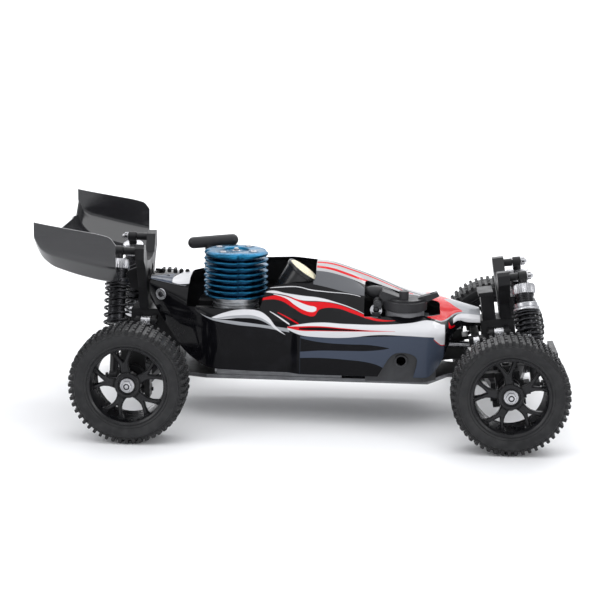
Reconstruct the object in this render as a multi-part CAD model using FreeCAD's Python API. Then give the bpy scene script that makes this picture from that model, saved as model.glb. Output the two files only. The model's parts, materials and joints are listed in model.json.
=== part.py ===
"""Nitro-engined off-road model buggy: one STEP file per sub-part, in millimetres.

Frame: +X forward, +Y to the driver's left, +Z up. The origin is on the ground, under the middle of the
bounding box. The front suspension is drawn level and then turned nose-up by KICK about the front axle.
"""
import FreeCAD, Part
import math
import os

V = FreeCAD.Vector
X_AXIS, Y_AXIS, Z_AXIS = V(1, 0, 0), V(0, 1, 0), V(0, 0, 1)

# Driving dimensions
WHEELBASE = 278.0
FRONT_X = 154.0
REAR_X = FRONT_X - WHEELBASE
AXLE_Z = 43.5
TYRE_R, TYRE_HALF = 43.5, 16.0
WHEEL_Y = 109.0
KICK = 8.0
PLATE_BOTTOM, PLATE_TOP, PLATE_HALF = 32.0, 35.0, 45.0
PIN_R = 1.5
RUNNING = 0.08
BEND_X = 125.0

# Suspension pivots in the (y, z) plane, left side
FRONT = {"x": FRONT_X, "in": (24.0, 40.0), "out": (73.0, 31.0), "rise": 30.0,
         "shock_x": FRONT_X + 21.5, "shock_top": (31.0, 113.5), "shock_low": (62.0, 36.0)}
REAR = {"x": REAR_X, "in": (24.0, 39.0), "out": (79.0, 31.0), "rise": 32.0,
        "shock_x": REAR_X - 19.0, "shock_top": (34.0, 127.5), "shock_low": (64.0, 36.0)}

SHAFT_INNER = 18.0

# Steering
KINGPIN_Y = 86.0
STEER_ARM = 19.0
TIE_OUT = (KINGPIN_Y, 59.0)
TIE_IN = (TIE_OUT[0] - (FRONT["out"][0] - FRONT["in"][0]), TIE_OUT[1] - (FRONT["out"][1] - FRONT["in"][1]))
TIE_X = FRONT_X - STEER_ARM + 0.7
SAVER_X, SAVER_Y = FRONT_X - 2 * STEER_ARM, 18.0

# Drive line
GEAR_MODULE = 0.8
SPUR_TEETH, BELL_TEETH = 44, 17
DRIVE_Z = 54.0
CRANK_Y = -22.0
CRANK_Z = DRIVE_Z + math.sqrt(((SPUR_TEETH + BELL_TEETH) * GEAR_MODULE / 2) ** 2 - CRANK_Y ** 2)
ENGINE_X = -54.0
HEAD_R, HEAD_BOTTOM, HEAD_TOP = 25.0, 94.0, 129.0
CARB_X, CARB_TOP = ENGINE_X + 30.0, CRANK_Z + 26.0
HANDLE_X, HANDLE_Y, HANDLE_FOOT = -77.5, 8.5, 119.0

# Fuel tank
TANK_X, TANK_Y, LID_Z = 77.0, -31.0, 88.0
HINGE_Z = LID_Z + 4.3

SHELL = 1.5


# ---------------------------------------------------------------- shape helpers
def box(x, y, z):
    """Box from three (low, high) pairs."""
    return Part.makeBox(x[1] - x[0], y[1] - y[0], z[1] - z[0], V(x[0], y[0], z[0]))


def rod(start, end, radius):
    """Round bar between two points."""
    a, b = V(*start), V(*end)
    return Part.makeCylinder(radius, (b - a).Length, a, b - a)


def bar_x(x0, x1, y, z, radius):
    return rod((x0, y, z), (x1, y, z), radius)


def bar_y(x, y0, y1, z, radius):
    return rod((x, y0, z), (x, y1, z), radius)


def bar_z(x, y, z0, z1, radius):
    return rod((x, y, z0), (x, y, z1), radius)


def join(*shapes):
    """Fuses touching shapes into one clean solid."""
    return only(shapes[0].multiFuse(list(shapes[1:])).removeSplitter())


def cut(shape, *tools):
    return only(shape.cut(Part.Compound(list(tools))))


def only(shape):
    """The single solid of a shape. More than one means that a feature came loose."""
    if len(shape.Solids) != 1:
        raise ValueError("expected one solid, found %d" % len(shape.Solids))
    return shape.Solids[0]


def face_of(points):
    wire = Part.makePolygon([V(*p) for p in points] + [V(*points[0])])
    return Part.Face(wire)


def slab_x(outline, x0, x1):
    """Plate normal to X from a (y, z) outline."""
    return face_of([(x0, y, z) for y, z in outline]).extrude(V(x1 - x0, 0, 0))


def slab_y(outline, y0, y1):
    """Plate normal to Y from an (x, z) outline."""
    return face_of([(x, y0, z) for x, z in outline]).extrude(V(0, y1 - y0, 0))


def slab_z(outline, z0, z1):
    """Plate normal to Z from an (x, y) outline."""
    return face_of([(x, y, z0) for x, y in outline]).extrude(V(0, 0, z1 - z0))


def both_sides(half):
    """(y, z) outline symmetric about y = 0, from its half with y > 0."""
    return half + [(-y, z) for y, z in reversed(half)]


def left_right(half):
    """(x, y) outline symmetric about y = 0, from its half with y > 0."""
    return half + [(x, -y) for x, y in reversed(half)]


def spun(profile, centre, axis):
    """Solid of revolution. The profile is (radius, distance along the axis)."""
    side = Z_AXIS if abs(axis.z) < 0.5 else X_AXIS
    points = [centre + side * r + axis * t for r, t in profile]
    return face_of([tuple(p) for p in points]).revolve(centre, axis, 360)


def mirrored(shapes):
    return [s.mirror(V(0, 0, 0), Y_AXIS) for s in shapes]


def kicked(shapes):
    """Turns front-end shapes nose-up about the front axle."""
    out = []
    for shape in shapes:
        turned = shape.copy()
        turned.rotate(V(FRONT_X, 0, AXLE_Z), Y_AXIS, -KICK)
        out.append(turned)
    return out


def unkicked(x, z):
    """Where a point of the finished front end lies in the level drawing."""
    turn = math.radians(KICK)
    dx, dz = x - FRONT_X, z - AXLE_Z
    ahead = dx * math.cos(turn) + dz * math.sin(turn)
    above = dz * math.cos(turn) - dx * math.sin(turn)
    return FRONT_X + ahead, AXLE_Z + above


def nose_top():
    """Height of the bent-up front of the plate in the level drawing."""
    return unkicked(BEND_X, PLATE_TOP)[1]


def save(name, shapes):
    """Writes one node: a group of separate solids."""
    solids = [solid for shape in shapes for solid in shape.Solids]
    for solid in solids:
        if not solid.isValid() or solid.Volume <= 0:
            raise ValueError(name + " holds a bad solid")
    Part.Compound(solids).exportStep("parts/" + name + ".step")


def save_pair(stem, end, shapes):
    """Writes the left part and its mirror image on the right. Front parts get the kick-up first."""
    left = kicked(shapes) if end == "front" else shapes
    save(end + "_left_" + stem, left)
    save(end + "_right_" + stem, mirrored(left))


# ---------------------------------------------------------------- wheels
def tyre():
    """Hollow carcass, open at the bead. The tread blocks are added in the visual model."""
    outer = [(27.2, -10.5), (31.0, -13.5), (37.0, -TYRE_HALF), (41.0, -15.0), (TYRE_R, -12.0),
             (TYRE_R, 12.0), (41.0, 15.0), (37.0, TYRE_HALF), (31.0, 13.5), (27.2, 10.5)]
    inner = [(27.2, 8.0), (32.0, 11.0), (37.0, 13.0), (40.0, 11.5), (40.0, -11.5), (37.0, -13.0),
             (32.0, -11.0), (27.2, -8.0)]
    return spun(outer + inner, V(0, WHEEL_Y, 0), Y_AXIS)


def spoke(angle):
    """Forked spoke: a stem from the hub that splits into two prongs at the barrel."""
    def prong(lean):
        edges = ([], [])
        for radius, bearing, half_width in ((7, 0, 4.2), (15, 0, 2.8), (26, lean, 1.9)):
            turn = math.radians(angle + bearing)
            along_x, along_z = math.cos(turn), math.sin(turn)
            for edge, side in zip(edges, (-half_width, half_width)):
                edge.append((radius * along_x - side * along_z, radius * along_z + side * along_x))
        return slab_y(edges[0] + edges[1][::-1], WHEEL_Y + 6.5, WHEEL_Y + 10.5)
    return [prong(-13), prong(13)]


def rim():
    """Five forked spokes on a dished rim, and a hub that takes the hexagon of the axle."""
    y = WHEEL_Y
    barrel = spun([(25.2, -14.0), (29.6, -14.0), (29.6, -12.5), (27.2, -10.5), (27.2, 10.5), (29.6, 12.5),
                   (29.6, 14.0), (25.2, 14.0)], V(0, y, 0), Y_AXIS)
    hub = bar_y(0, y + 2, y + 11.5, 0, 9.5)
    spokes = [prong for k in range(5) for prong in spoke(28 + 72 * k)]
    whole = join(barrel, hub, *spokes)
    bore = bar_y(0, y, y + 13, 0, 3.0)
    nut_seat = bar_y(0, y + 9.5, y + 13, 0, 6.0)
    return cut(whole, bore, nut_seat, hexagon(12.0, y + 2, y + 6))


def hexagon(across_flats, y0, y1):
    radius = across_flats / math.sqrt(3)
    turns = [math.radians(60 * k) for k in range(6)]
    corners = [(radius * math.cos(turn), radius * math.sin(turn)) for turn in turns]
    return slab_y(corners, y0, y1)


def drive_cup(y_mouth, y_floor):
    """Cup that takes the outer ball of a drive shaft, with room for the ball to wander as the arm swings."""
    return cut(bar_y(0, y_mouth, y_floor, 0, 6.6), bar_y(0, y_mouth, y_floor - 1.5, 0, 5.7))


def axle(y_mouth, y_floor):
    y = WHEEL_Y
    shaft = bar_y(0, y_floor, y + 15.5, 0, 3.0)
    hex_drive = hexagon(12.0, y - 5, y + 6)
    return join(drive_cup(y_mouth, y_floor), shaft, hex_drive)


def wheel_nut():
    y = WHEEL_Y
    flange = bar_y(0, y + 9.5, y + 10.5, 0, 5.2)
    return cut(join(hexagon(7.0, y + 9.5, y + 14.5), flange), bar_y(0, y, y + 20, 0, 3.0))


def at_axle(shapes, x):
    out = []
    for shape in shapes:
        placed = shape.copy()
        placed.translate(V(x, 0, AXLE_Z))
        out.append(placed)
    return out


def wheels():
    for end, x, cup in (("front", FRONT_X, (80.5, 92.0)), ("rear", REAR_X, (74.0, 83.5))):
        for side, turn in (("left", lambda s: s), ("right", mirrored)):
            save(end + "_" + side + "_tyre", turn(at_axle([tyre()], x)))
            save(end + "_" + side + "_rim", turn(at_axle([rim(), axle(*cup), wheel_nut()], x)))


# ---------------------------------------------------------------- suspension
def sloped_plate(x, start, end, half_start, half_end, half_thick):
    """Tapered web between two points of the (y, z) plane."""
    def section(point, half):
        y, z = point
        corners = [(x - half, y, z - half_thick), (x + half, y, z - half_thick),
                   (x + half, y, z + half_thick), (x - half, y, z + half_thick)]
        return Part.makePolygon([V(*c) for c in corners + corners[:1]])
    return Part.makeLoft([section(start, half_start), section(end, half_end)], True, True)


def lower_arm(at):
    """Wishbone between its two hinge pins, with the post for the shock absorber."""
    x, (yi, zi), (yo, zo), sx = at["x"], at["in"], at["out"], at["shock_x"]
    sy, sz = at["shock_low"]
    ahead = 1 if sx > x else -1
    web = sloped_plate(x, (yi + 1, zi), (yo - 1, zo), 17, 6, 2.8)
    pad = box(sorted((x + ahead * 4, sx - ahead * 4.2)), (sy - 5, sy + 5), (sz - 5.5, sz + 3.5))
    whole = join(web, bar_x(x - 18, x + 18, yi, zi, 4.2), bar_x(x - 8, x + 8, yo, zo, 3.6), pad)
    window = slab_z([(x - 9, yi - 6), (x + 9, yi - 6), (x + 3.5, yo - 20), (x - 3.5, yo - 20)], 20, 60)
    body = cut(whole, window, bar_x(x - 30, x + 30, yi, zi, PIN_R + RUNNING),
               bar_x(x - 30, x + 30, yo, zo, PIN_R + RUNNING), bar_x(x - 60, x + 60, sy, sz, PIN_R))
    post = bar_x(x + ahead * 5, sx + ahead * 4.4, sy, sz, PIN_R)
    head = bar_x(sx + ahead * 4.4, sx + ahead * 6.0, sy, sz, 2.8)
    return [body, join(post, head)]


def pin_ears(x, y, z, toward_y, low, high):
    """Two ears at the ends of a link's eye, reaching sideways to the part that carries them."""
    ears = []
    for a, b in ((x - 8.0, x - 4.3), (x + 4.3, x + 8.0)):
        ears.append(join(bar_x(a, b, y, z, 3.4), box((a, b), sorted((y, toward_y)), (low, high))))
    return ears


def rear_hub_carrier():
    x, (yo, zo) = REAR_X, REAR["out"]
    zu = zo + REAR["rise"]
    boss = bar_y(x, 84.2, 97.5, AXLE_Z, 9.5)
    upright = box((x - 9, x + 9), (84.2, 90.0), (AXLE_Z, zu + 3))
    lugs = []
    for a, b in ((x - 12.3, x - 8.3), (x + 8.3, x + 12.3)):
        lugs.append(join(bar_x(a, b, yo, zo, 4.2), box((a, b), (yo, 90.0), (zo - 4.2, 48.0))))
    bridge = box((x - 12.3, x + 12.3), (84.2, 90.0), (AXLE_Z - 5, 48.0))
    whole = join(boss, upright, bridge, *lugs, *pin_ears(x, yo, zu, 88.0, zu - 3, zu + 3))
    body = cut(whole, bar_y(x, 80, 100, AXLE_Z, 3.0 + RUNNING), bar_x(x - 30, x + 30, yo, zo, PIN_R),
               bar_x(x - 30, x + 30, yo, zu, PIN_R))
    return [body, bar_x(x - 13.5, x + 13.5, yo, zo, PIN_R), bar_x(x - 9, x + 9, yo, zu, PIN_R)]


def front_hub_carrier():
    """C-shaped carrier that holds the steering knuckle between two tabs."""
    x, (yo, zo) = FRONT_X, FRONT["out"]
    zu = zo + FRONT["rise"]
    web = box((x - 9, x + 9), (70.5, 75.5), (36.5, 57.0))
    shoulder = join(box((x - 6, x + 6), (74, 78.3), (51, 57)), box((x - 6, x + 6), (77, 80), (55.8, 57)))
    tabs = []
    for low, high in ((26.5, 31.0), (56.0, 60.0)):
        tab = box((x - 6, x + 6), (77.5, KINGPIN_Y), (low, high))
        tabs.append(join(tab, bar_z(x, KINGPIN_Y, low, high, 6.0)))
    lugs = []
    for a, b in ((x - 12.3, x - 8.3), (x + 8.3, x + 12.3)):
        side = box((a, b), (70.5, 75.5), (30.0, 44.0))
        foot = box((a, b), (yo, 80.0), (26.8, 31.0))
        lugs.append(join(bar_x(a, b, yo, zo, 4.2), side, foot))
    shelf = box((x - 12.3, x + 12.3), (77.5, 81.0), (26.8, 31.0))
    bridge = box((x - 12.3, x + 12.3), (70.5, 75.5), (40.0, 44.0))
    whole = join(web, shoulder, bridge, shelf, *tabs, *lugs, *pin_ears(x, yo, zu, 75.5, 56.0, 62.0))
    body = cut(whole, bar_y(x, 60, 80, AXLE_Z, 7.0), box((x - 7, x + 7), (60, 80), (30, AXLE_Z)),
               bar_x(x - 30, x + 30, yo, zo, PIN_R), bar_x(x - 30, x + 30, yo, zu, PIN_R),
               bar_z(x, KINGPIN_Y, 20, 70, PIN_R))
    pins = [bar_x(x - 13.5, x + 13.5, yo, zo, PIN_R), bar_x(x - 9, x + 9, yo, zu, PIN_R)]
    for z0, z1, h0, h1 in ((26.5, 35.5, 25.0, 26.5), (51.5, 60.0, 60.0, 61.5)):
        pins.append(join(bar_z(x, KINGPIN_Y, z0, z1, PIN_R), bar_z(x, KINGPIN_Y, h0, h1, 2.8)))
    return [body, *pins]


def knuckle():
    x = FRONT_X
    low, high, bore = 31.6, 55.4, 7.4
    block = box((x - 9, x + 9), (82.0, 92.0), (low, high))
    boss = bar_y(x, 91.0, 98.0, AXLE_Z, 8.5)
    arm_x, arm_y = x - STEER_ARM, TIE_OUT[0]
    arm = box((arm_x, x - 6), (arm_y - 3.5, arm_y + 3.5), (high - 3.6, high - 0.1))
    eye = bar_z(arm_x, arm_y, high - 3.6, high - 0.1, 3.8)
    whole = join(block, boss, arm, eye)
    body = cut(whole, bar_y(x, 75, 92.6, AXLE_Z, bore), bar_y(x, 85, 105, AXLE_Z, 3.0 + RUNNING),
               bar_z(x, KINGPIN_Y, 25, 36.5, PIN_R + RUNNING), bar_z(x, KINGPIN_Y, 50.5, 60, PIN_R + RUNNING),
               bar_z(arm_x, arm_y, 40, 60, PIN_R))
    top = TIE_OUT[1] + 3.0
    stud = bar_z(arm_x, arm_y, high - 3.6, top, PIN_R)
    head = bar_z(arm_x, arm_y, top, top + 1.6, 3.4)
    return [body, join(stud, head)]


def linked(start, end, eye_r, shaft_r, eyes, hole_r):
    """Bar between two eyes. Each eye is a round bar given by its own axis."""
    a, b = V(*start), V(*end)
    way = (b - a).normalize()
    shaft = rod(tuple(a + way * (eye_r - 0.6)), tuple(b - way * (eye_r - 0.6)), shaft_r)
    middle = (a + b) * 0.5
    nut = rod(tuple(middle - way * 6), tuple(middle + way * 6), shaft_r + 0.8)
    rings, holes = [], []
    for centre, axis in zip((a, b), eyes):
        rings.append(rod(tuple(centre - axis * 3.6), tuple(centre + axis * 3.6), eye_r))
        holes.append(rod(tuple(centre - axis * 9), tuple(centre + axis * 9), hole_r))
    return cut(join(shaft, nut, *rings), *holes)


def upper_link(at):
    x, (yi, zi), (yo, zo), rise = at["x"], at["in"], at["out"], at["rise"]
    return [linked((x, yi, zi + rise), (x, yo, zo + rise), 3.6, 1.8, (X_AXIS, X_AXIS), PIN_R + RUNNING)]


def drive_shaft(y_ball):
    """Dog-bone: a ball with a cross pin at each end. The inner end lies in the gearbox."""
    ends = (SHAFT_INNER, y_ball)
    shaft = bar_y(0, *ends, 0, 1.6)
    balls = [Part.makeSphere(2.4, V(0, y, 0)) for y in ends]
    pins = [rod((0, y, -2.8), (0, y, 2.8), 0.8) for y in ends]
    return join(shaft, *balls, *pins)


def shock_parts(at):
    """Oil-filled damper on the line of its two eyes: body with cap and collar, rod with the spring's cup."""
    x, (yt, zt), (yl, zl) = at["shock_x"], at["shock_top"], at["shock_low"]
    top, low = V(x, yt, zt), V(x, yl, zl)
    length = (low - top).Length
    way = (low - top).normalize()

    def along(t0, t1, radius):
        return rod(tuple(top + way * t0), tuple(top + way * t1), radius)

    eye = rod((x - 3.2, yt, zt), (x + 3.2, yt, zt), 4.0)
    neck = along(2, 9, 3.4)
    cap = along(6.6, 14.2, 8.5)
    cup_at = length - 29
    body_end = cup_at - 11
    body = along(14.2, body_end, 6.8)
    collar = along(24, 27, 10.2)
    outer = cut(join(eye, neck, cap, body, collar), rod((x - 9, yt, zt), (x + 9, yt, zt), PIN_R + RUNNING),
                along(17, body_end - 2, 5.4), along(body_end - 3, body_end + 1, PIN_R + RUNNING))
    cup = along(cup_at, cup_at + 3, 10.2)
    foot = along(cup_at + 3, length - 2, 3.4)
    low_eye = rod((x - 3.2, yl, zl), (x + 3.2, yl, zl), 4.4)
    loose_bore = rod((x - 9, yl, zl), (x + 9, yl, zl), PIN_R + 0.6)
    inner = cut(join(cup, foot, low_eye), loose_bore, along(20, cup_at + 2, PIN_R))
    shaft = join(along(30, cup_at + 2, PIN_R), along(30, 33, 5.2))
    spring = coil(top + way * 28.0, way, cup_at - 29.0)
    return [outer], [inner, shaft], [spring]


def coil(start, way, height):
    """Compression spring around the damper body, of eight-sided wire."""
    wire_r, mean_r, turns, flats = 0.95, 9.0, 7.0, 8
    corners = []
    for k in range(flats):
        angle = 2 * math.pi * (k + 0.5) / flats
        corners.append(V(mean_r + wire_r * math.cos(angle), 0, wire_r * math.sin(angle)))
    section = Part.makePolygon(corners + corners[:1])
    helix = Part.makeHelix(height / turns, height, mean_r)
    spring = Part.Wire(helix.Edges).makePipeShell([section], True, True)
    spring.Placement = FreeCAD.Placement(start, FreeCAD.Rotation(Z_AXIS, way))
    return Part.Solid(spring) if spring.ShapeType == "Shell" else spring


def suspension():
    for end, at in (("front", FRONT), ("rear", REAR)):
        save_pair("arm", end, lower_arm(at))
        save_pair("upper_link", end, upper_link(at))
        body, piston, spring = shock_parts(at)
        save_pair("shock_body", end, body)
        save_pair("shock_rod", end, piston)
        save_pair("spring", end, spring)
    save_pair("hub_carrier", "rear", rear_hub_carrier())
    save_pair("hub_carrier", "front", front_hub_carrier())
    save_pair("knuckle", "front", knuckle())
    for end, x, y_ball in (("front", FRONT_X, KINGPIN_Y), ("rear", REAR_X, 78.0)):
        shaft = at_axle([drive_shaft(y_ball)], x)
        save(end + "_left_drive_shaft", shaft)
        save(end + "_right_drive_shaft", mirrored(shaft))


# ---------------------------------------------------------------- steering
def tie_rod():
    """Track rod: a ring round the knuckle's stud, and an eye on the drag link's pin."""
    (yi, zi), (yo, zo) = TIE_IN, TIE_OUT
    fall = (zo - zi) / (yo - yi)
    ring = bar_z(TIE_X, yo, zo - 1.4, zo + 1.4, 4.2)
    eye = bar_x(TIE_X - 2.2, TIE_X + 2.2, yi, zi, 3.4)
    shaft = rod((TIE_X, yi + 2, zi + 2 * fall), (TIE_X, yo - 3.2, zo - 3.2 * fall), 1.4)
    return cut(join(ring, eye, shaft), bar_z(TIE_X, yo, zo - 9, zo + 9, 2.7),
               bar_x(TIE_X - 9, TIE_X + 9, yi, zi, PIN_R + RUNNING))


def drag_link():
    """Cross bar with a fork for each tie rod, and a slot for the pin of the steering arm."""
    x, (yi, zi) = TIE_X, TIE_IN
    bars = [box((x - 3, x + 3), (-yi + 5, yi - 5), (zi - 2.5, zi + 2.5)),
            box((x - 5.6, x + 3.4), (SAVER_Y - 5, SAVER_Y + 5), (zi - 2.5, zi + 2.5))]
    for s in (1, -1):
        bars.append(box((x - 5.6, x + 5.6), sorted((s * (yi - 8), s * (yi - 4.2))), (zi - 3, zi + 3)))
        for a, b in ((x - 5.6, x - 2.6), (x + 2.6, x + 5.6)):
            bars.append(box((a, b), sorted((s * (yi - 6), s * (yi + 3))), (zi - 3, zi + 3)))
    slot = box((x - 4.0, x + 1.6), (SAVER_Y - PIN_R - 0.4, SAVER_Y + PIN_R + 0.4), (zi - 5, zi + 5))
    pins = [bar_x(x - 5.6, x + 5.6, s * yi, zi, PIN_R) for s in (1, -1)]
    return [cut(join(*bars), slot, *pins), *pins]


def servo_saver():
    """Steering arm on the servo's output shaft, with the pin that moves the drag link."""
    zi = TIE_IN[1]
    low, high = zi + 3.0, zi + 6.0
    pin_x = FRONT_X - STEER_ARM
    sleeve = bar_z(SAVER_X, SAVER_Y, zi + 1.0, zi + 7.0, 6.5)
    lever = box((SAVER_X, pin_x), (SAVER_Y - 3, SAVER_Y + 3), (low, high))
    arm = join(lever, bar_z(pin_x, SAVER_Y, low, high, 3.6), sleeve)
    pin = join(bar_z(pin_x, SAVER_Y, zi - 3.2, high, PIN_R), bar_z(pin_x, SAVER_Y, high, high + 1.2, 2.8))
    output_bore = bar_z(SAVER_X, SAVER_Y, zi - 20, zi + 5.0, 3.0 + RUNNING)
    return [cut(arm, output_bore, bar_z(pin_x, SAVER_Y, zi - 8, high, PIN_R)), pin]


def steering_servo():
    """Low servo that stands square to the drag link, behind the front gearbox."""
    bottom, top = 45.0, TIE_IN[1] + 0.5
    x0, x1 = SAVER_X - 30, SAVER_X + 10
    case = box((x0, x1), (SAVER_Y - 10, SAVER_Y + 10), (bottom, top))
    ears = box((x0 - 6.5, x1 + 5.0), (SAVER_Y - 9, SAVER_Y + 9), (top - 9, top - 6.5))
    shaft = bar_z(SAVER_X, SAVER_Y, top, TIE_IN[1] + 5.0, 3.0)
    return join(case, ears, shaft)


def steering():
    left = kicked([tie_rod()])
    save("left_tie_rod", left)
    save("right_tie_rod", mirrored(left))
    save("drag_link", kicked(drag_link()))
    save("servo_saver", kicked(servo_saver()))


# ---------------------------------------------------------------- chassis and gearboxes
def chassis_plate():
    half = [(BEND_X, 18), (112, 20), (96, PLATE_HALF), (-74, PLATE_HALF), (-88, 40), (-104, 18), (-150, 18)]
    plate = slab_z(left_right(half), PLATE_BOTTOM, PLATE_TOP)
    start = unkicked(BEND_X - 0.6, PLATE_TOP)[0]
    outline = left_right([(start, 18), (FRONT_X - 14, 14.8), (FRONT_X + 32, 14.8)])
    nose = slab_z(outline, nose_top() - PLATE_TOP + PLATE_BOTTOM, nose_top())
    rails = [box((-66, 30), sorted((s * 42.0, s * 44.5)), (PLATE_TOP, PLATE_TOP + 4)) for s in (1, -1)]
    save("chassis_plate", [join(plate, *kicked([nose])), *rails])


def gearbox(at, case_x, base, top, snout_x, snout_z):
    """Differential housing with lugs for the arms' hinge pins and ears for the upper links.

    It has a mouth for each drive shaft and a snout for the centre shaft.
    """
    x, (yi, zi), zu = at["x"], at["in"], at["in"][1] + at["rise"]
    half, mouth = 17.0, 6.0
    ends = (x - 22, max(case_x[1], x + 22))
    case = slab_x(both_sides([(half, base), (half, zi + 14), (half - 5, top)]), *case_x)
    shapes = [case, box(ends, (-14.5, 14.5), (base, zi + 4)), bar_x(*snout_x, 0, snout_z, 7.5)]
    for s in (1, -1):
        shapes.append(bar_y(x, s * (half - 2), s * (half + 1.5), AXLE_Z, mouth + 1.6))
        shapes += pin_ears(x, s * yi, zu, s * (half - 8), zu - 3.4, zu + 3)
        for a, b in ((ends[0], x - 18.4), (x + 18.4, ends[1])):
            shapes.append(bar_x(a, b, s * yi, zi, 4.0))
            shapes.append(box((a, b), sorted((s * 14, s * yi)), (max(base, zi - 3.8), zi + 4.0)))
    pins = [bar_x(*ends, s * yi, zi, PIN_R) for s in (1, -1)]
    pins += [bar_x(x - 9, x + 9, s * yi, zu, PIN_R) for s in (1, -1)]
    mouths = [bar_y(x, s * 11, s * 40, AXLE_Z, mouth) for s in (1, -1)]
    return [cut(join(*shapes), *pins, *mouths, bar_x(*snout_x, 0, snout_z, 5.0)), *pins]


def front_gearbox():
    x = FRONT_X
    snout_z = unkicked(x - 15, DRIVE_Z)[1]
    body, *pins = gearbox(FRONT, (x - 13, x + 13), nose_top(), 78.0, (x - 15, x - 8), snout_z)
    stand = [box((x - 11, x - 1), (-12, 12), (74, 97)), box((x - 12.5, x - 1), (-13, 13), (97, 100))]
    save("front_gearbox", kicked([join(body, *stand), *pins]))


def rear_gearbox():
    x = REAR_X
    save("rear_gearbox", gearbox(REAR, (x - 13, x + 26), PLATE_TOP, 78.0, (x + 22, x + 29), DRIVE_Z))


def front_tower():
    x0, x1 = FRONT_X + 2.4, FRONT_X + 11.4
    (yt, zt), sx = FRONT["shock_top"], FRONT["shock_x"]
    half = [(15, 78.2), (17, 90), (29, 103), (37, 109), (37, 116), (35, 118.5), (28, 118.5), (20, 109),
            (8, 107)]
    plate = slab_x(both_sides(half), x0, x1)
    rib = [(9, 80), (13, 80), (24, 97), (20, 98)]
    ribs = [slab_x([(s * y, z) for y, z in rib], x1 - 1, x1 + 1.6) for s in (1, -1)]
    holes = [bar_x(x0 - 5, x1 + 5, s * 9, 100, 4.0) for s in (1, -1)]
    screws = shock_screws(sx, x1, x0, yt, zt)
    save("front_tower", kicked([cut(join(plate, *ribs), *holes, *screws), *screws]))


def shock_screws(sx, face, back, yt, zt):
    """Screw and stand-off that carry each shock's upper eye."""
    way = 1 if sx > face else -1
    screws = []
    for s in (1, -1):
        shank = bar_x(back, sx + way * 3.6, s * yt, zt, PIN_R)
        sleeve = bar_x(face, sx - way * 3.5, s * yt, zt, 3.0)
        head = bar_x(sx + way * 3.6, sx + way * 6.4, s * yt, zt, 2.8)
        screws.append(join(shank, sleeve, head))
    return screws


def rear_tower():
    """Upright plate for the rear dampers, with the two stays that carry the wing."""
    x0, x1 = REAR_X - 6.5, REAR_X + 0.5
    (yt, zt), sx = REAR["shock_top"], REAR["shock_x"]
    half = [(15, 78.2), (18, 96), (30, 114), (38, 121), (38, 130), (35, 133), (28, 131), (20, 118), (8, 116)]
    plate = slab_x(both_sides(half), x0, x1)
    holes = [bar_x(x0 - 5, x1 + 5, s * 10, 106, 4.5) for s in (1, -1)]
    screws = shock_screws(sx, x0, x1, yt, zt)
    stay = [(0, 92), (0, 112), (-14, 106), (-24, 108.4), (-50, 111.6), (-50, 108), (-22, 102)]
    stays = [slab_y([(x0 + x, z) for x, z in stay], *sorted((s * 9.0, s * 14.0))) for s in (1, -1)]
    save("rear_tower", [cut(plate, *holes, *screws), *screws, *stays])


def front_bumper():
    x = FRONT_X
    outline = left_right([(x + 43.5, 22), (x + 39, 32), (x + 30, 32), (x + 22.3, 13)])
    blade = slab_z(outline, nose_top(), nose_top() + 4)
    skirt = box((x + 39, x + 43.5), (-22, 22), (nose_top() + 4, nose_top() + 9))
    slots = [box((x + 29, x + 38), sorted((s * 5, s * 24)), (30, 60)) for s in (1, -1)]
    save("front_bumper", kicked([cut(join(blade, skirt), *slots)]))


# ---------------------------------------------------------------- engine, fuel and electrics
def crankcase():
    """Engine block with its finned cylinder and carburettor, the recoil starter behind it, and two mounts."""
    x, y, z = ENGINE_X, CRANK_Y, CRANK_Z
    block = box((x - 17, x + 17), (y - 15, y + 15), (z - 16, z + 14))
    barrel = bar_z(x, y, z, HEAD_BOTTOM, 15.5)
    nose = bar_x(x + 16, x + 38, y, z, 8.5)
    fins = [bar_z(x, y, zf, zf + 1.3, 18.0) for zf in (81.0, 84.5, 88.0, 91.5)]
    feet = [box((x - 17, x + 17), sorted((y + s * 14, y + s * 18.5)), (z - 8, z - 3)) for s in (1, -1)]
    carb = join(bar_z(CARB_X, y, z + 5, CARB_TOP, 6.5), bar_y(CARB_X, y - 14, y + 16, z + 18, 5.5))
    body = cut(join(block, barrel, nose, carb, *fins, *feet), bar_x(x + 10, x + 40, y, z, 3.0 + RUNNING))
    sides = [sorted((y + s * 15.2, y + s * 18.2)) for s in (1, -1)]
    mounts = [box((x - 14, x + 14), side, (PLATE_TOP, z - 8)) for side in sides]
    guide = Part.makeCone(5.0, 3.6, HANDLE_FOOT - 84, V(HANDLE_X, HANDLE_Y, 84))
    shoulder = box((x - 30, x - 17.5), (y + 10, HANDLE_Y + 5), (z + 2, 86))
    spool = join(bar_x(x - 31, x - 17, y, z, 19.0), shoulder, guide)
    starter = cut(spool, bar_z(HANDLE_X, HANDLE_Y, 90, HANDLE_FOOT + 1, 1.6))
    save("crankcase", [body, starter, *mounts])


def cooling_head():
    """Stack of round fins on a core, with four screw recesses and the glow-plug well."""
    x, y = ENGINE_X, CRANK_Y
    pitch, count, thick = 4.5, 8, 1.6
    core = bar_z(x, y, HEAD_BOTTOM, HEAD_TOP, 12.0)
    floors = [HEAD_BOTTOM + k * pitch for k in range(count)]
    fins = [bar_z(x, y, floor, floor + thick, HEAD_R) for floor in floors]
    top = bar_z(x, y, HEAD_TOP - 3.4, HEAD_TOP, HEAD_R - 2.0)
    wells = [bar_z(x, y, HEAD_TOP - 8, HEAD_TOP + 1, 3.4)]
    for k in range(4):
        turn = math.radians(45 + 90 * k)
        seat_x, seat_y = x + 15 * math.cos(turn), y + 15 * math.sin(turn)
        wells.append(bar_z(seat_x, seat_y, HEAD_TOP - 2.4, HEAD_TOP + 1, 3.2))
    plug = bar_z(x, y, HEAD_TOP - 8, HEAD_TOP + 1.5, 2.2)
    save("cooling_head", [cut(join(core, top, *fins), *wells), plug])


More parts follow.
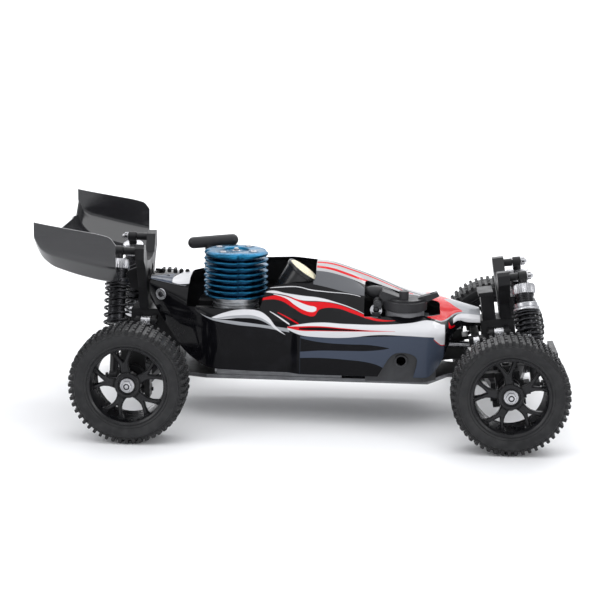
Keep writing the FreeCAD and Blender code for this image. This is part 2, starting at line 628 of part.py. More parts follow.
def air_filter():
    """Tilted rubber cup with a foam element that stands proud of its rim."""
    lean = math.radians(55)
    way = V(math.cos(lean), 0, math.sin(lean))
    face = V(-1, -17, 113.5)

    def along(t0, t1, radius):
        return rod(tuple(face + way * t0), tuple(face + way * t1), radius)

    neck = bar_z(CARB_X, CRANK_Y, CARB_TOP, CARB_TOP + 9, 4.8)
    cup = cut(join(along(-27, 0, 13.8), along(-3, -1, 14.4), neck), along(-24, 1, 12.6))
    save("air_filter", [cup, along(-24, 0.6, 12.6)])


def fuel_tank():
    """Tank with a stepped top, a filler neck, ears for the lid's hinge and a ringed port on its side."""
    x, y = TANK_X, TANK_Y
    lower = slab_z([(48, -53), (92, -53), (102, -44), (102, -14), (48, -14)], PLATE_TOP + 0.5, 70.0)
    upper = slab_z([(52, -42), (92, -42), (96, -38), (96, -16), (52, -16)], 70.0, 82.0)
    neck = bar_z(x, y, 82, LID_Z, 14.5)
    hollow = join(slab_z([(50, -51), (91, -51), (100, -43), (100, -16), (50, -16)], PLATE_TOP + 2.5, 68.0),
                  bar_z(x, y, 60, LID_Z + 1, 12.0))
    ears = [join(box((x - 24, x - 18), sorted((y + s * 4.3, y + s * 7.5)), (81, HINGE_Z)),
                 bar_y(x - 21, y + s * 4.3, y + s * 7.5, HINGE_Z, 3.0)) for s in (1, -1)]
    nipple = join(bar_z(55, -38, 82, 86.5, 4.0), bar_z(55, -38, 86.5, 89.5, 2.2))
    pin = bar_y(x - 21, y - 8.2, y + 8.2, HINGE_Z, PIN_R)
    port = bar_y(75, -54.6, -53, 52.0, 4.8)
    whole = join(lower, upper, neck, port, nipple, *ears)
    save("fuel_tank", [cut(whole, hollow, bar_y(75, -60, -50.5, 52.0, 3.6), pin), pin])


def fuel_lid():
    """Flip-up cap with its hinge block, finger lever and centre knob."""
    x, y, z = TANK_X, TANK_Y, LID_Z + 0.3
    disc = bar_z(x, y, z, z + 6.5, 17.0)
    lip = bar_z(x, y, z + 6.5, z + 8.0, 14.0)
    barrel = bar_y(x - 21, y - 4.0, y + 4.0, HINGE_Z, 3.4)
    root = box((x - 21, x - 12), (y - 4.0, y + 4.0), (z + 2.0, z + 6.5))
    wedge = [(-16, 6), (-20, 9.5), (-17.5, 14), (-4, 9.5), (-4, 6)]
    lever = [(10, 6), (10, 9), (24, 13.5), (26, 10.5), (15, 5)]
    ridges = [slab_y([(x + dx, z + dz) for dx, dz in outline], y - half, y + half)
              for outline, half in ((wedge, 7.0), (lever, 3.5))]
    knob = bar_z(x - 1, y - 6, z + 7.5, z + 14.5, 3.6)
    whole = join(disc, lip, barrel, root, knob, *ridges)
    pin_bore = bar_y(x - 21, y - 12, y + 12, HINGE_Z, PIN_R + RUNNING)
    save("fuel_lid", [cut(whole, bar_z(x + 20.5, y, z + 5, z + 20, 1.8), pin_bore)])


def exhaust():
    """Header from the cylinder's left port down to a can on the left, with a bent tail pipe."""
    x, y = ENGINE_X, CRANK_Y
    points = [V(x, y + 12, 81), V(x, 6, 81), V(x - 8, 24, 78), V(x - 22, 33, 69), V(x - 14, 33, 60)]
    header = [rod(tuple(a), tuple(b), 4.2) for a, b in zip(points, points[1:])]
    bends = [Part.makeSphere(4.2, p) for p in points[1:-1]]
    can = spun([(0, 0), (7, 0), (13, 10), (13, 74), (9, 80), (0, 80)], V(x - 15, 33, 60), X_AXIS)
    bend = (x + 76, 33, 60)
    knee = Part.makeSphere(3.0, V(*bend))
    tail = [rod((x + 60, 33, 60), bend, 3.0), rod(bend, (x + 82, 42, 54), 3.0), knee]
    cylinder = bar_z(x, y, 60, 100, 18.05)
    save("exhaust", [cut(join(*header, *bends, can, *tail), cylinder)])


def electronics():
    """Receiver and battery box, throttle servo and steering servo, side by side on the left."""
    case = join(box((34, 58), (14, 43), (PLATE_TOP, 60)), box((32.5, 59.5), (12.5, 45), (57, 62)))
    throttle = box((62, 82), (8, 42), (PLATE_TOP, 62))
    ears = box((62, 82), (6, 44), (50, 52.5))
    save("electronics", [case, join(throttle, ears, bar_z(72, 33, 62, 66, 3)), *kicked([steering_servo()])])


def pull_handle():
    """T-handle of the recoil starter. Its neck stands on the cord guide."""
    left, right = (-90.5, HANDLE_Y, 127.9), (-59.7, HANDLE_Y, 131.2)
    grip = join(rod(left, right, 4.6), Part.makeSphere(4.6, V(*left)), Part.makeSphere(4.6, V(*right)))
    grip = cut(grip, box((-76, -66), (HANDLE_Y - 1.2, HANDLE_Y + 1.2), (132.0, 140)))
    neck = Part.makeCone(3.6, 4.4, 129.0 - HANDLE_FOOT - 0.3, V(HANDLE_X, HANDLE_Y, HANDLE_FOOT + 0.3))
    save("pull_handle", [join(grip, neck)])


# ---------------------------------------------------------------- drive line
def gear(teeth, x0, x1, y, z, turn):
    """Spur gear with straight-sided teeth and room for backlash."""
    pitch_r = GEAR_MODULE * teeth / 2
    tip_r, root_r = pitch_r + 0.75 * GEAR_MODULE, pitch_r - 1.05 * GEAR_MODULE
    step = 2 * math.pi / teeth
    points = []
    for k in range(teeth):
        for radius, share in ((root_r, -0.31), (tip_r, -0.1), (tip_r, 0.1), (root_r, 0.31)):
            angle = turn + (k + share) * step
            points.append((y + radius * math.cos(angle), z + radius * math.sin(angle)))
    return slab_x(points, x0, x1)


def drive_line():
    to_crank = math.atan2(CRANK_Z - DRIVE_Z, CRANK_Y)
    spur = gear(SPUR_TEETH, -1.0, 4.0, 0, DRIVE_Z, to_crank)
    hub = bar_x(-4, 8, 0, DRIVE_Z, 6.0)
    front = bar_x(8, FRONT_X - 18, 0, DRIVE_Z, 2.4)
    rear = bar_x(REAR_X + 23.5, -4, 0, DRIVE_Z, 2.4)
    brake_disc = cut(bar_x(20, 21.5, 0, DRIVE_Z, 13.0), front)
    save("centre_drive", [join(spur, hub, front, rear), brake_disc])

    half_tooth = math.pi / BELL_TEETH
    bell = gear(BELL_TEETH, -3.5, 6.0, CRANK_Y, CRANK_Z, to_crank + math.pi + half_tooth)
    drum = bar_x(-11.5, -3.5, CRANK_Y, CRANK_Z, 10.0)
    flywheel = bar_x(-15.5, -12.0, CRANK_Y, CRANK_Z, 16.0)
    shaft = bar_x(ENGINE_X + 12, 8.5, CRANK_Y, CRANK_Z, 3.0)
    bell = cut(join(bell, drum), bar_x(-40, 20, CRANK_Y, CRANK_Z, 3.0))
    save("clutch_bell", [bell, cut(flywheel, bar_x(-40, 20, CRANK_Y, CRANK_Z, 3.0)), shaft])


# ---------------------------------------------------------------- body shell and wing
# Half sections of the shell: x, then (y, z) of hem, flank, shoulder, sill, roof edge and ridge
SHELL_SECTIONS = [
    (-121, ((19, 88), (24, 96), (25, 101), (20, 104), (14, 106), (0, 107))),
    (-95, ((34, 52), (36, 72), (36, 93), (27, 100), (16, 104), (0, 105))),
    (-74, ((50, 41), (52, 57), (51, 82), (33, 99), (18, 109), (0, 111))),
    (-40, ((51, 40), (53, 56), (53, 79), (34, 102), (22, 116), (0, 118))),
    (-10, ((52, 40), (54, 56), (54, 76), (34, 103), (24, 117), (0, 119.5))),
    (-2, ((57, 40), (59, 56), (58, 76), (34, 103), (22, 116), (0, 119.8))),
    (19, ((57, 40), (59, 56), (59, 76.5), (33, 101.5), (14, 115), (0, 119.4))),
    (50, ((57, 40), (59, 56), (59, 77), (31, 98.5), (9, 106), (0, 109))),
    (78, ((57, 40), (59, 56), (59, 77), (28, 93.5), (9, 95.8), (0, 97.2))),
    (97, ((57, 40), (59, 56), (59, 77), (27, 90.5), (9, 92), (0, 92.5))),
    (107, ((46, 52), (51, 62), (55, 72), (25, 88), (9, 90), (0, 90))),
    (117, ((23, 73), (26, 77), (26, 81), (17, 86), (9, 87.5), (0, 88))),
    (136, ((19, 74), (21, 76.5), (20, 79), (11, 82), (6, 83), (0, 83.2))),
]


def shell_loft(inset):
    """Ruled solid through the sections. The inset moves it inward, and its hem down past the outer one."""
    wires = []
    for x, half in SHELL_SECTIONS:
        hem, *rest, ridge = half
        inner = [(hem[0] - inset, hem[1] - 4 * inset)] + [(y - inset, z - inset * 0.4) for y, z in rest]
        ring = inner + [(0, ridge[1] - inset)] + [(-y, z) for y, z in reversed(inner)]
        wires.append(Part.makePolygon([V(x, y, z) for y, z in ring + ring[:1]]))
    return Part.makeLoft(wires, True, True)


def body_shell():
    outer, inner = shell_loft(0.0), shell_loft(SHELL)
    ends = [box((-130, -119.4), (-30, 30), (60, 108)), box((134.5, 140), (-30, 30), (60, 81))]
    engine_bay = slab_z([(-90, -60), (-90, 15), (8, 15), (8, -30), (-30, -34), (-38, -60)], 87.0, 140.0)
    tank_hole = slab_z([(46, -60), (46, -12), (104, -12), (104, -60)], 84.5, 140.0)
    neck_hole = bar_z(TANK_X, TANK_Y, 78, 90, 15.2)
    window = slab_y([(52, 30), (66, 56), (71, 59.5), (80, 59.5), (86, 57), (87.5, 53), (82, 30)], -70, -50)
    tail = slab_z([(-130, -9), (-130, 9), (-112, 9), (-112, -9)], 95, 140)
    save("body_shell", [cut(outer, inner, *ends, engine_bay, tank_hole, neck_hole, window, tail)])


WING_HALF, WING_SKIN, WING_JOIN, WING_LIP_X = 90.0, 1.6, 66.0, -184.0
# Half sections of the wing: x, floor z in the middle and at its edge, floor half width, crease z, top z
WING_SECTIONS = [
    (-137, 111.5, 109.5, 72, 124.3, 141.5),
    (-141, 111.5, 109.5, 72, 124.8, 147.0),
    (-151, 111.8, 110.2, 72, 126.8, 149.5),
    (-171, 113.5, 115.2, 73, 131.0, 152.5),
    (-187, 119.0, 121.0, 74, 134.5, 155.0),
    (-194, 127.0, 128.0, 76, 139.0, 156.2),
    (-197.4, 136.0, 136.2, 79, 146.0, 157.0),
]


def wing():
    """Scoop-shaped wing: a floor, its lip that sweeps up at the back, and two sides with end plates."""
    wires = []
    for x, floor, edge, flat, crease, top in WING_SECTIONS:
        inner_half = WING_HALF - WING_SKIN
        outer = [(flat, edge), (WING_HALF, crease), (WING_HALF, top)]
        inner = [(inner_half, top), (inner_half, crease + 0.8), (flat - 0.5, edge + WING_SKIN)]
        half = outer + inner
        ring = [(0, floor)] + half + [(0, floor + WING_SKIN)] + [(-y, z) for y, z in reversed(half)]
        wires.append(Part.makePolygon([V(x, y, z) for y, z in ring + ring[:1]]))
    skin = Part.makeLoft(wires, True, True)
    notch = slab_z([(-132, -60), (-132, 60), (-154, 48), (-154, -48)], 100, 120)
    buttons = [bar_z(x, s * 11.5, 112.0, 117.0, 4.0) for x in (-160, -172) for s in (1, -1)]
    middle = box((-200, -130), (-WING_JOIN, WING_JOIN), (100, 160))
    behind = box((-200, WING_LIP_X), (-WING_JOIN, WING_JOIN), (100, 160))
    floor_part = cut(skin.common(middle), notch, *buttons)
    lip_parts = [floor_part.cut(behind), floor_part.common(behind)]
    save("wing", [*map(only, lip_parts), *skin.cut(middle).Solids, *buttons])


def main():
    os.makedirs("parts", exist_ok=True)
    wheels()
    suspension()
    steering()
    chassis_plate()
    front_gearbox()
    rear_gearbox()
    front_tower()
    rear_tower()
    front_bumper()
    crankcase()
    cooling_head()
    air_filter()
    fuel_tank()
    fuel_lid()
    exhaust()
    electronics()
    pull_handle()
    drive_line()
    body_shell()
    wing()


main()
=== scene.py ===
"""Looks of a nitro off-road model buggy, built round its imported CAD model.

Metres. +X is forward, +Y the buggy's left, +Z up, as in the CAD. Lengths written in millimetres are
multiplied by MM where a mesh is made.
"""

import json
import math

import bmesh
import bpy
from mathutils import Matrix, Vector


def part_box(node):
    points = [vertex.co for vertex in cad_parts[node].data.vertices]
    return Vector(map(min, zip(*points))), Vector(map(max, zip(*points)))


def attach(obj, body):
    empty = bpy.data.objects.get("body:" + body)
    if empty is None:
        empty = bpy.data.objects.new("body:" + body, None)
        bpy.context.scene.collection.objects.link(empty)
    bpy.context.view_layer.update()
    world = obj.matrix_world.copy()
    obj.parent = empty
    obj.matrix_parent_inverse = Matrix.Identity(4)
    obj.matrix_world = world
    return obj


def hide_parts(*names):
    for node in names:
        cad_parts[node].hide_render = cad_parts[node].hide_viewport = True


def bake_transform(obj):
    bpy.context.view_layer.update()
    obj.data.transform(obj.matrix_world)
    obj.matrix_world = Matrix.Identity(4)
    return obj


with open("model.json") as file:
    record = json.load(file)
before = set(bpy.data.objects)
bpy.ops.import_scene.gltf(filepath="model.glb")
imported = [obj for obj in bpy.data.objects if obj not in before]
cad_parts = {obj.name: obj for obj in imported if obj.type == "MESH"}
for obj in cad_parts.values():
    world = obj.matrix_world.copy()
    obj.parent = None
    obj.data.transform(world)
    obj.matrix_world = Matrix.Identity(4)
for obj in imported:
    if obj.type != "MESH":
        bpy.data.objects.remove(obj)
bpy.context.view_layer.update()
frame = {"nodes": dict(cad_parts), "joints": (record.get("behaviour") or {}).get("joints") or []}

MM = 0.001
TAU = 2 * math.pi
JOINTS = {joint["name"]: joint for joint in frame["joints"]}
SIDES = (("left", 1), ("right", -1))
CORNERS = [(end, side, sign) for end in ("front", "rear") for side, sign in SIDES]


# ---------------------------------------------------------------- shapes
class Shape:
    """Vertices in millimetres and faces, gathered for one mesh. Each face keeps its material's place."""

    def __init__(self):
        self.verts, self.faces, self.slots = [], [], []

    def add(self, part, place=Matrix(), slot=0):
        verts, faces = part
        base = len(self.verts)
        flip = place.determinant() < 0
        self.verts += [place @ Vector(v) for v in verts]
        for face in faces:
            moved = [base + index for index in face]
            self.faces.append(moved[::-1] if flip else moved)
            self.slots.append(slot)
        return self


def bridged(low, high):
    """Faces between two rings of vertex numbers. A ring of one vertex is a pole."""
    if len(low) == 1:
        return [[low[0], high[(k + 1) % len(high)], high[k]] for k in range(len(high))]
    if len(high) == 1:
        return [[low[k], low[(k + 1) % len(low)], high[0]] for k in range(len(low))]
    count = len(low)
    return [[low[k], low[(k + 1) % count], high[(k + 1) % count], high[k]] for k in range(count)]


def skinned(rings, ends="capped"):
    """Mesh through rings of points. The ends are capped, or the last ring is joined to the first."""
    verts, numbers = [], []
    for ring in rings:
        numbers.append(list(range(len(verts), len(verts) + len(ring))))
        verts += ring
    faces = [face for low, high in zip(numbers, numbers[1:]) for face in bridged(low, high)]
    if ends == "joined":
        faces += bridged(numbers[-1], numbers[0])
    else:
        faces += [ring for ring in (numbers[0][::-1], numbers[-1]) if len(ring) > 2]
    return verts, faces


def lathe(profile, steps=64, ends="capped", radius_at=None):
    """Turned shape about Z from (radius, height) points. radius_at(radius, angle) makes it out of round."""
    rings = []
    for radius, height in profile:
        if radius == 0:
            rings.append([(0, 0, height)])
            continue
        ring = []
        for k in range(steps):
            angle = TAU * k / steps
            reach = radius_at(radius, angle) if radius_at else radius
            ring.append((reach * math.cos(angle), reach * math.sin(angle), height))
        rings.append(ring)
    return skinned(rings, ends)


def block(size, centre=(0, 0, 0), bevel=0.3, taper=1.0):
    """Box with bevelled edges all round. The taper narrows its top."""
    half = Vector(size) / 2
    rings = []
    for height, inset, scale in ((-half.z, bevel, 1), (-half.z + bevel, 0, 1),
                                 (half.z - bevel, 0, taper), (half.z, bevel, taper)):
        ring = []
        for sx, sy in ((1, 1), (-1, 1), (-1, -1), (1, -1)):
            x, y = sx * (half.x * scale - inset), sy * (half.y * scale - inset)
            corner = [(x, y - sy * bevel), (x - sx * bevel, y)]
            ring += corner if sx * sy > 0 else corner[::-1]
        rings.append([(x + centre[0], y + centre[1], height + centre[2]) for x, y in ring])
    return skinned(rings)


def prism(outline, low, high, bevel=0.3):
    """Plate between two heights from an (x, y) outline about the origin, with bevelled rims."""
    def ring(height, inset):
        shrunk = []
        for x, y in outline:
            reach = math.hypot(x, y)
            shrunk.append((x - x / reach * inset, y - y / reach * inset, height))
        return shrunk
    return skinned([ring(low, bevel), ring(low + bevel, 0), ring(high - bevel, 0), ring(high, bevel)])


def tube(points, radius, sides=10):
    """Round wire along a list of points."""
    points = [Vector(p) for p in points]
    rings = []
    side = None
    for k, point in enumerate(points):
        way = (points[min(k + 1, len(points) - 1)] - points[max(k - 1, 0)]).normalized()
        side = way.orthogonal() if side is None else side - way * side.dot(way)
        side.normalize()
        other = way.cross(side)
        ring = [point + (side * math.cos(TAU * n / sides) + other * math.sin(TAU * n / sides)) * radius
                for n in range(sides)]
        rings.append([tuple(p) for p in ring])
    return skinned(rings)


def hexagon(across, low, high, bevel=0.3):
    radius = across / math.sqrt(3)
    return prism([(radius * math.cos(TAU * k / 6), radius * math.sin(TAU * k / 6)) for k in range(6)],
                 low, high, bevel)


def cap_screw(head_r, head_h):
    """Socket-head screw standing on z = 0, with its socket sunk in."""
    floor = head_h * 0.45
    socket_r = head_r / math.sqrt(3)
    outer = [(head_r * 0.96, 0), (head_r, head_h * 0.1), (head_r, head_h * 0.85), (head_r * 0.9, head_h)]
    inner = [(socket_r * 1.05, head_h), (socket_r, floor), (0, floor)]
    return lathe(outer + inner, 24)


def toward(origin, way, along=(1, 0, 0)):
    """Placement whose Z runs along way, and whose X is as near as can be to along."""
    z = Vector(way).normalized()
    x = Vector(along) - z * Vector(along).dot(z)
    x = x.normalized() if x.length > 1e-4 else z.orthogonal().normalized()
    turn = Matrix((x, z.cross(x), z)).transposed()
    return Matrix.Translation(Vector(origin)) @ turn.to_4x4()


def mm(point):
    return Vector(point) / MM


def softened(knots, values, softness, at):
    """Value of a chain of straight lines at a place. Each inner knot is rounded off over its softness."""
    last = len(knots) - 2
    k = max([n for n in range(last + 1) if knots[n] <= at], default=0)
    slopes = [(values[n + 1] - values[n]) / (knots[n + 1] - knots[n]) for n in range(last + 1)]
    value = values[k] + slopes[k] * (at - knots[k])
    for n in (k, k + 1):
        near = softness[n] - abs(at - knots[n])
        if 0 < n <= last and near > 0:
            value = value + (slopes[n] - slopes[n - 1]) * (near * near / (4 * softness[n]))
    return value


def rounded_outline(corners, radius, steps=5):
    """Closed outline with its corners rounded."""
    outline = []
    for k, corner in enumerate(corners):
        corner = Vector(corner)
        before = Vector(corners[k - 1]) - corner
        after = Vector(corners[(k + 1) % len(corners)]) - corner
        start = corner + before.normalized() * min(radius, before.length / 2)
        end = corner + after.normalized() * min(radius, after.length / 2)
        for n in range(steps + 1):
            share = n / steps
            outline.append(tuple(start.lerp(corner, share).lerp(corner.lerp(end, share), share)))
    return outline


def piece(name, shape, finishes, body=None, sharp=32):
    """Makes the Blender object of a shape, which rides on a CAD body."""
    mesh = bpy.data.meshes.new(name)
    mesh.from_pydata([tuple(Vector(v) * MM) for v in shape.verts], [], shape.faces)
    for finish in finishes:
        mesh.materials.append(finish)
    mesh.polygons.foreach_set("material_index", shape.slots)
    mesh.polygons.foreach_set("use_smooth", [True] * len(mesh.polygons))
    mesh.validate()
    mesh.set_sharp_from_angle(angle=math.radians(sharp))
    made = bpy.data.objects.new(name, mesh)
    bpy.context.scene.collection.objects.link(made)
    if body:
        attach(made, body)
    return made


def applied(source, body, sharp=32):
    """Bakes an object's modifiers into its mesh, and lets it ride on a CAD body."""
    bpy.context.view_layer.update()
    graph = bpy.context.evaluated_depsgraph_get()
    mesh = bpy.data.meshes.new_from_object(source.evaluated_get(graph), preserve_all_data_layers=True,
                                           depsgraph=graph)
    source.modifiers.clear()
    source.data = mesh
    mesh.polygons.foreach_set("use_smooth", [True] * len(mesh.polygons))
    mesh.set_sharp_from_angle(angle=math.radians(sharp))
    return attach(source, body)


def reach(node, origin, way):
    """How far a CAD node reaches along a direction from a point: (nearest, farthest), in millimetres."""
    origin, way = Vector(origin), Vector(way).normalized()
    ends = [(v.co - origin).dot(way) / MM for v in frame["nodes"][node].data.vertices]
    return min(ends), max(ends)


def middle(node):
    low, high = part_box(node)
    return mm((low + high) / 2)


# ---------------------------------------------------------------- materials
class Finish:
    """A Principled material. Its nodes are added by short calls, and sizes are in millimetres."""

    def __init__(self, name, colour, roughness, **sockets):
        self.material = bpy.data.materials.new(name)
        self.material.use_nodes = True
        self.tree = self.material.node_tree
        self.shader = self.tree.nodes["Principled BSDF"]
        self.coords = self.node("ShaderNodeTexCoord").outputs["Object"]
        self.normal = None
        self.set("Base Color", (*colour, 1))
        self.set("Roughness", roughness)
        for socket, value in sockets.items():
            self.set(socket.replace("_", " "), value)

    def node(self, kind, **settings):
        made = self.tree.nodes.new(kind)
        for key, value in settings.items():
            setattr(made, key, value)
        return made

    def feed(self, socket, value):
        """Links an output to a socket, or sets the socket's own value."""
        if isinstance(value, bpy.types.NodeSocket):
            self.tree.links.new(value, socket)
        else:
            socket.default_value = value

    def set(self, name, value):
        self.feed(self.shader.inputs[name], value)

    def math(self, operation, *values):
        node = self.node("ShaderNodeMath", operation=operation)
        for socket, value in zip(node.inputs, values):
            self.feed(socket, value)
        return node.outputs[0]

    def noise(self, size, detail=3.0, stretch=(1, 1, 1)):
        """Cloudy pattern from 0 to 1 with grains of about the given size."""
        node = self.node("ShaderNodeTexNoise")
        mapping = self.node("ShaderNodeMapping")
        self.feed(mapping.inputs["Vector"], self.coords)
        mapping.inputs["Scale"].default_value = stretch
        self.feed(node.inputs["Vector"], mapping.outputs[0])
        node.inputs["Scale"].default_value = 1 / (size * MM)
        node.inputs["Detail"].default_value = detail
        return node.outputs["Fac"]

    def pebbles(self, size):
        node = self.node("ShaderNodeTexVoronoi")
        self.feed(node.inputs["Vector"], self.coords)
        node.inputs["Scale"].default_value = 1 / (size * MM)
        return node.outputs["Distance"]

    def ramp(self, factor, low, high, start, end):
        """Changes from low to high as the factor goes from start to end."""
        node = self.node("ShaderNodeMapRange")
        self.feed(node.inputs["Value"], factor)
        for name, value in (("From Min", start), ("From Max", end), ("To Min", low), ("To Max", high)):
            self.feed(node.inputs[name], value)
        return node.outputs[0]

    def mix(self, factor, first, second):
        node = self.node("ShaderNodeMix", data_type="RGBA")
        for index, value in ((0, factor), (6, first), (7, second)):
            if isinstance(value, tuple):
                value = (*value, 1)
            self.feed(node.inputs[index], value)
        return node.outputs[2]

    def curve(self, factor, points):
        """Smooth curve through (place, value) points, all from 0 to 1."""
        node = self.node("ShaderNodeFloatCurve")
        self.feed(node.inputs["Value"], factor)
        line = node.mapping.curves[0]
        for u, value in points[2:]:
            line.points.new(u, value)
        for point, place in zip(line.points, sorted(points)):
            point.location = place
        node.mapping.use_clip = False
        node.mapping.extend = "HORIZONTAL"
        node.mapping.update()
        return node.outputs[0]

    def rounded(self, radius):
        """Light catches the edges as if they were rounded. Returns how near a point is to an edge."""
        node = self.node("ShaderNodeBevel", samples=4)
        node.inputs["Radius"].default_value = radius * MM
        self.normal = node.outputs[0]
        dot = self.node("ShaderNodeVectorMath", operation="DOT_PRODUCT")
        self.feed(dot.inputs[0], self.normal)
        self.feed(dot.inputs[1], self.node("ShaderNodeNewGeometry").outputs["Normal"])
        return self.ramp(dot.outputs["Value"], 1.0, 0.0, 0.86, 0.995)

    def bump(self, height, depth, strength=1.0):
        node = self.node("ShaderNodeBump")
        node.inputs["Strength"].default_value = strength
        node.inputs["Distance"].default_value = depth * MM
        self.feed(node.inputs["Height"], height)
        if self.normal:
            self.feed(node.inputs["Normal"], self.normal)
        self.normal = node.outputs[0]

    def done(self):
        if self.normal:
            self.set("Normal", self.normal)
        return self.material


def moulded(name, colour, worn, roughness, grain=0.5):
    """Moulded plastic: fine spark-eroded grain, cloudy gloss, and edges rubbed paler."""
    finish = Finish(name, colour, roughness, Specular_IOR_Level=0.3)
    edge = finish.rounded(0.45)
    cloud = finish.noise(9, 4)
    speck = finish.noise(0.8, 2)
    rubbed = finish.math("MULTIPLY", edge, finish.ramp(speck, 0.15, 0.8, 0.4, 0.65))
    tone = finish.mix(finish.ramp(cloud, 0, 1, 0.35, 0.7), colour, tuple(c * 1.35 + 0.002 for c in colour))
    finish.set("Base Color", finish.mix(rubbed, tone, worn))
    finish.set("Roughness", finish.ramp(cloud, roughness - 0.07, roughness + 0.09, 0.3, 0.7))
    finish.bump(finish.noise(grain, 2), 0.05, 0.5)
    return finish.done()


def glossy(name, colour, roughness, shine=0.35):
    """Injection-moulded gloss plastic with faint flow waves, dust and hairline scuffs."""
    finish = Finish(name, colour, roughness, Specular_IOR_Level=shine)
    edge = finish.rounded(0.5)
    scuffs = finish.noise(3, 3, (0.15, 1, 1))
    dust = finish.noise(0.7, 3)
    tone = finish.mix(finish.ramp(dust, 0, 0.25, 0.55, 0.8), colour, (0.05, 0.05, 0.055))
    finish.set("Base Color", finish.mix(finish.math("MULTIPLY", edge, 0.25), tone, (0.12, 0.12, 0.13)))
    finish.set("Roughness", finish.ramp(scuffs, roughness, roughness + 0.08, 0.5, 0.75))
    finish.bump(finish.noise(26, 2), 0.35, 0.2)
    return finish.done()


def turned(name, colour, roughness, grain=(1, 1, 1)):
    """Machined or cast metal with tool marks and brighter edges."""
    finish = Finish(name, colour, roughness, Metallic=1.0)
    edge = finish.rounded(0.3)
    marks = finish.noise(1.2, 4, grain)
    cloud = finish.noise(7, 3)
    dull = tuple(c * 0.72 for c in colour)
    bright = tuple(min(1.0, c * 1.35 + 0.05) for c in colour)
    tone = finish.mix(finish.ramp(cloud, 0, 1, 0.3, 0.7), dull, colour)
    finish.set("Base Color", finish.mix(finish.math("MULTIPLY", edge, 0.7), tone, bright))
    finish.set("Roughness", finish.ramp(marks, roughness - 0.08, roughness + 0.14, 0.3, 0.7))
    finish.bump(marks, 0.05, 0.45)
    return finish.done()


def rubber(name, colour, dusty):
    """Tyre rubber: fine pores, and pale dust in patches and on edges."""
    finish = Finish(name, colour, 0.5, Specular_IOR_Level=0.35)
    edge = finish.rounded(0.4)
    patches = finish.noise(6, 4)
    pores = finish.noise(0.45, 3)
    tone = finish.mix(finish.ramp(patches, 0, 0.75, 0.42, 0.72), colour, dusty)
    finish.set("Base Color", finish.mix(finish.math("MULTIPLY", edge, 0.45), tone, dusty))
    finish.set("Roughness", finish.ramp(patches, 0.4, 0.62, 0.3, 0.7))
    finish.bump(pores, 0.07, 0.6)
    return finish.done()


def sponge(name, colour, shade):
    """Open-cell foam."""
    finish = Finish(name, colour, 0.9, Subsurface_Weight=0.05)
    cells = finish.pebbles(1.1)
    finish.set("Base Color", finish.mix(finish.ramp(cells, 0, 1, 0.1, 0.62), shade, colour))
    finish.bump(cells, 0.5, 0.8)
    return finish.done()


PAINT_BLACK = (0.0035, 0.0035, 0.0045)
WHITE, PEARL, SILVER = (0.6, 0.6, 0.62), (0.4, 0.4, 0.41), (0.3, 0.31, 0.33)
GREY, SLATE, RED = (0.1, 0.103, 0.112), (0.05, 0.062, 0.09), (0.55, 0.001, 0.006)
PAINT_REAR, PAINT_FRONT = -125.0, 140.0
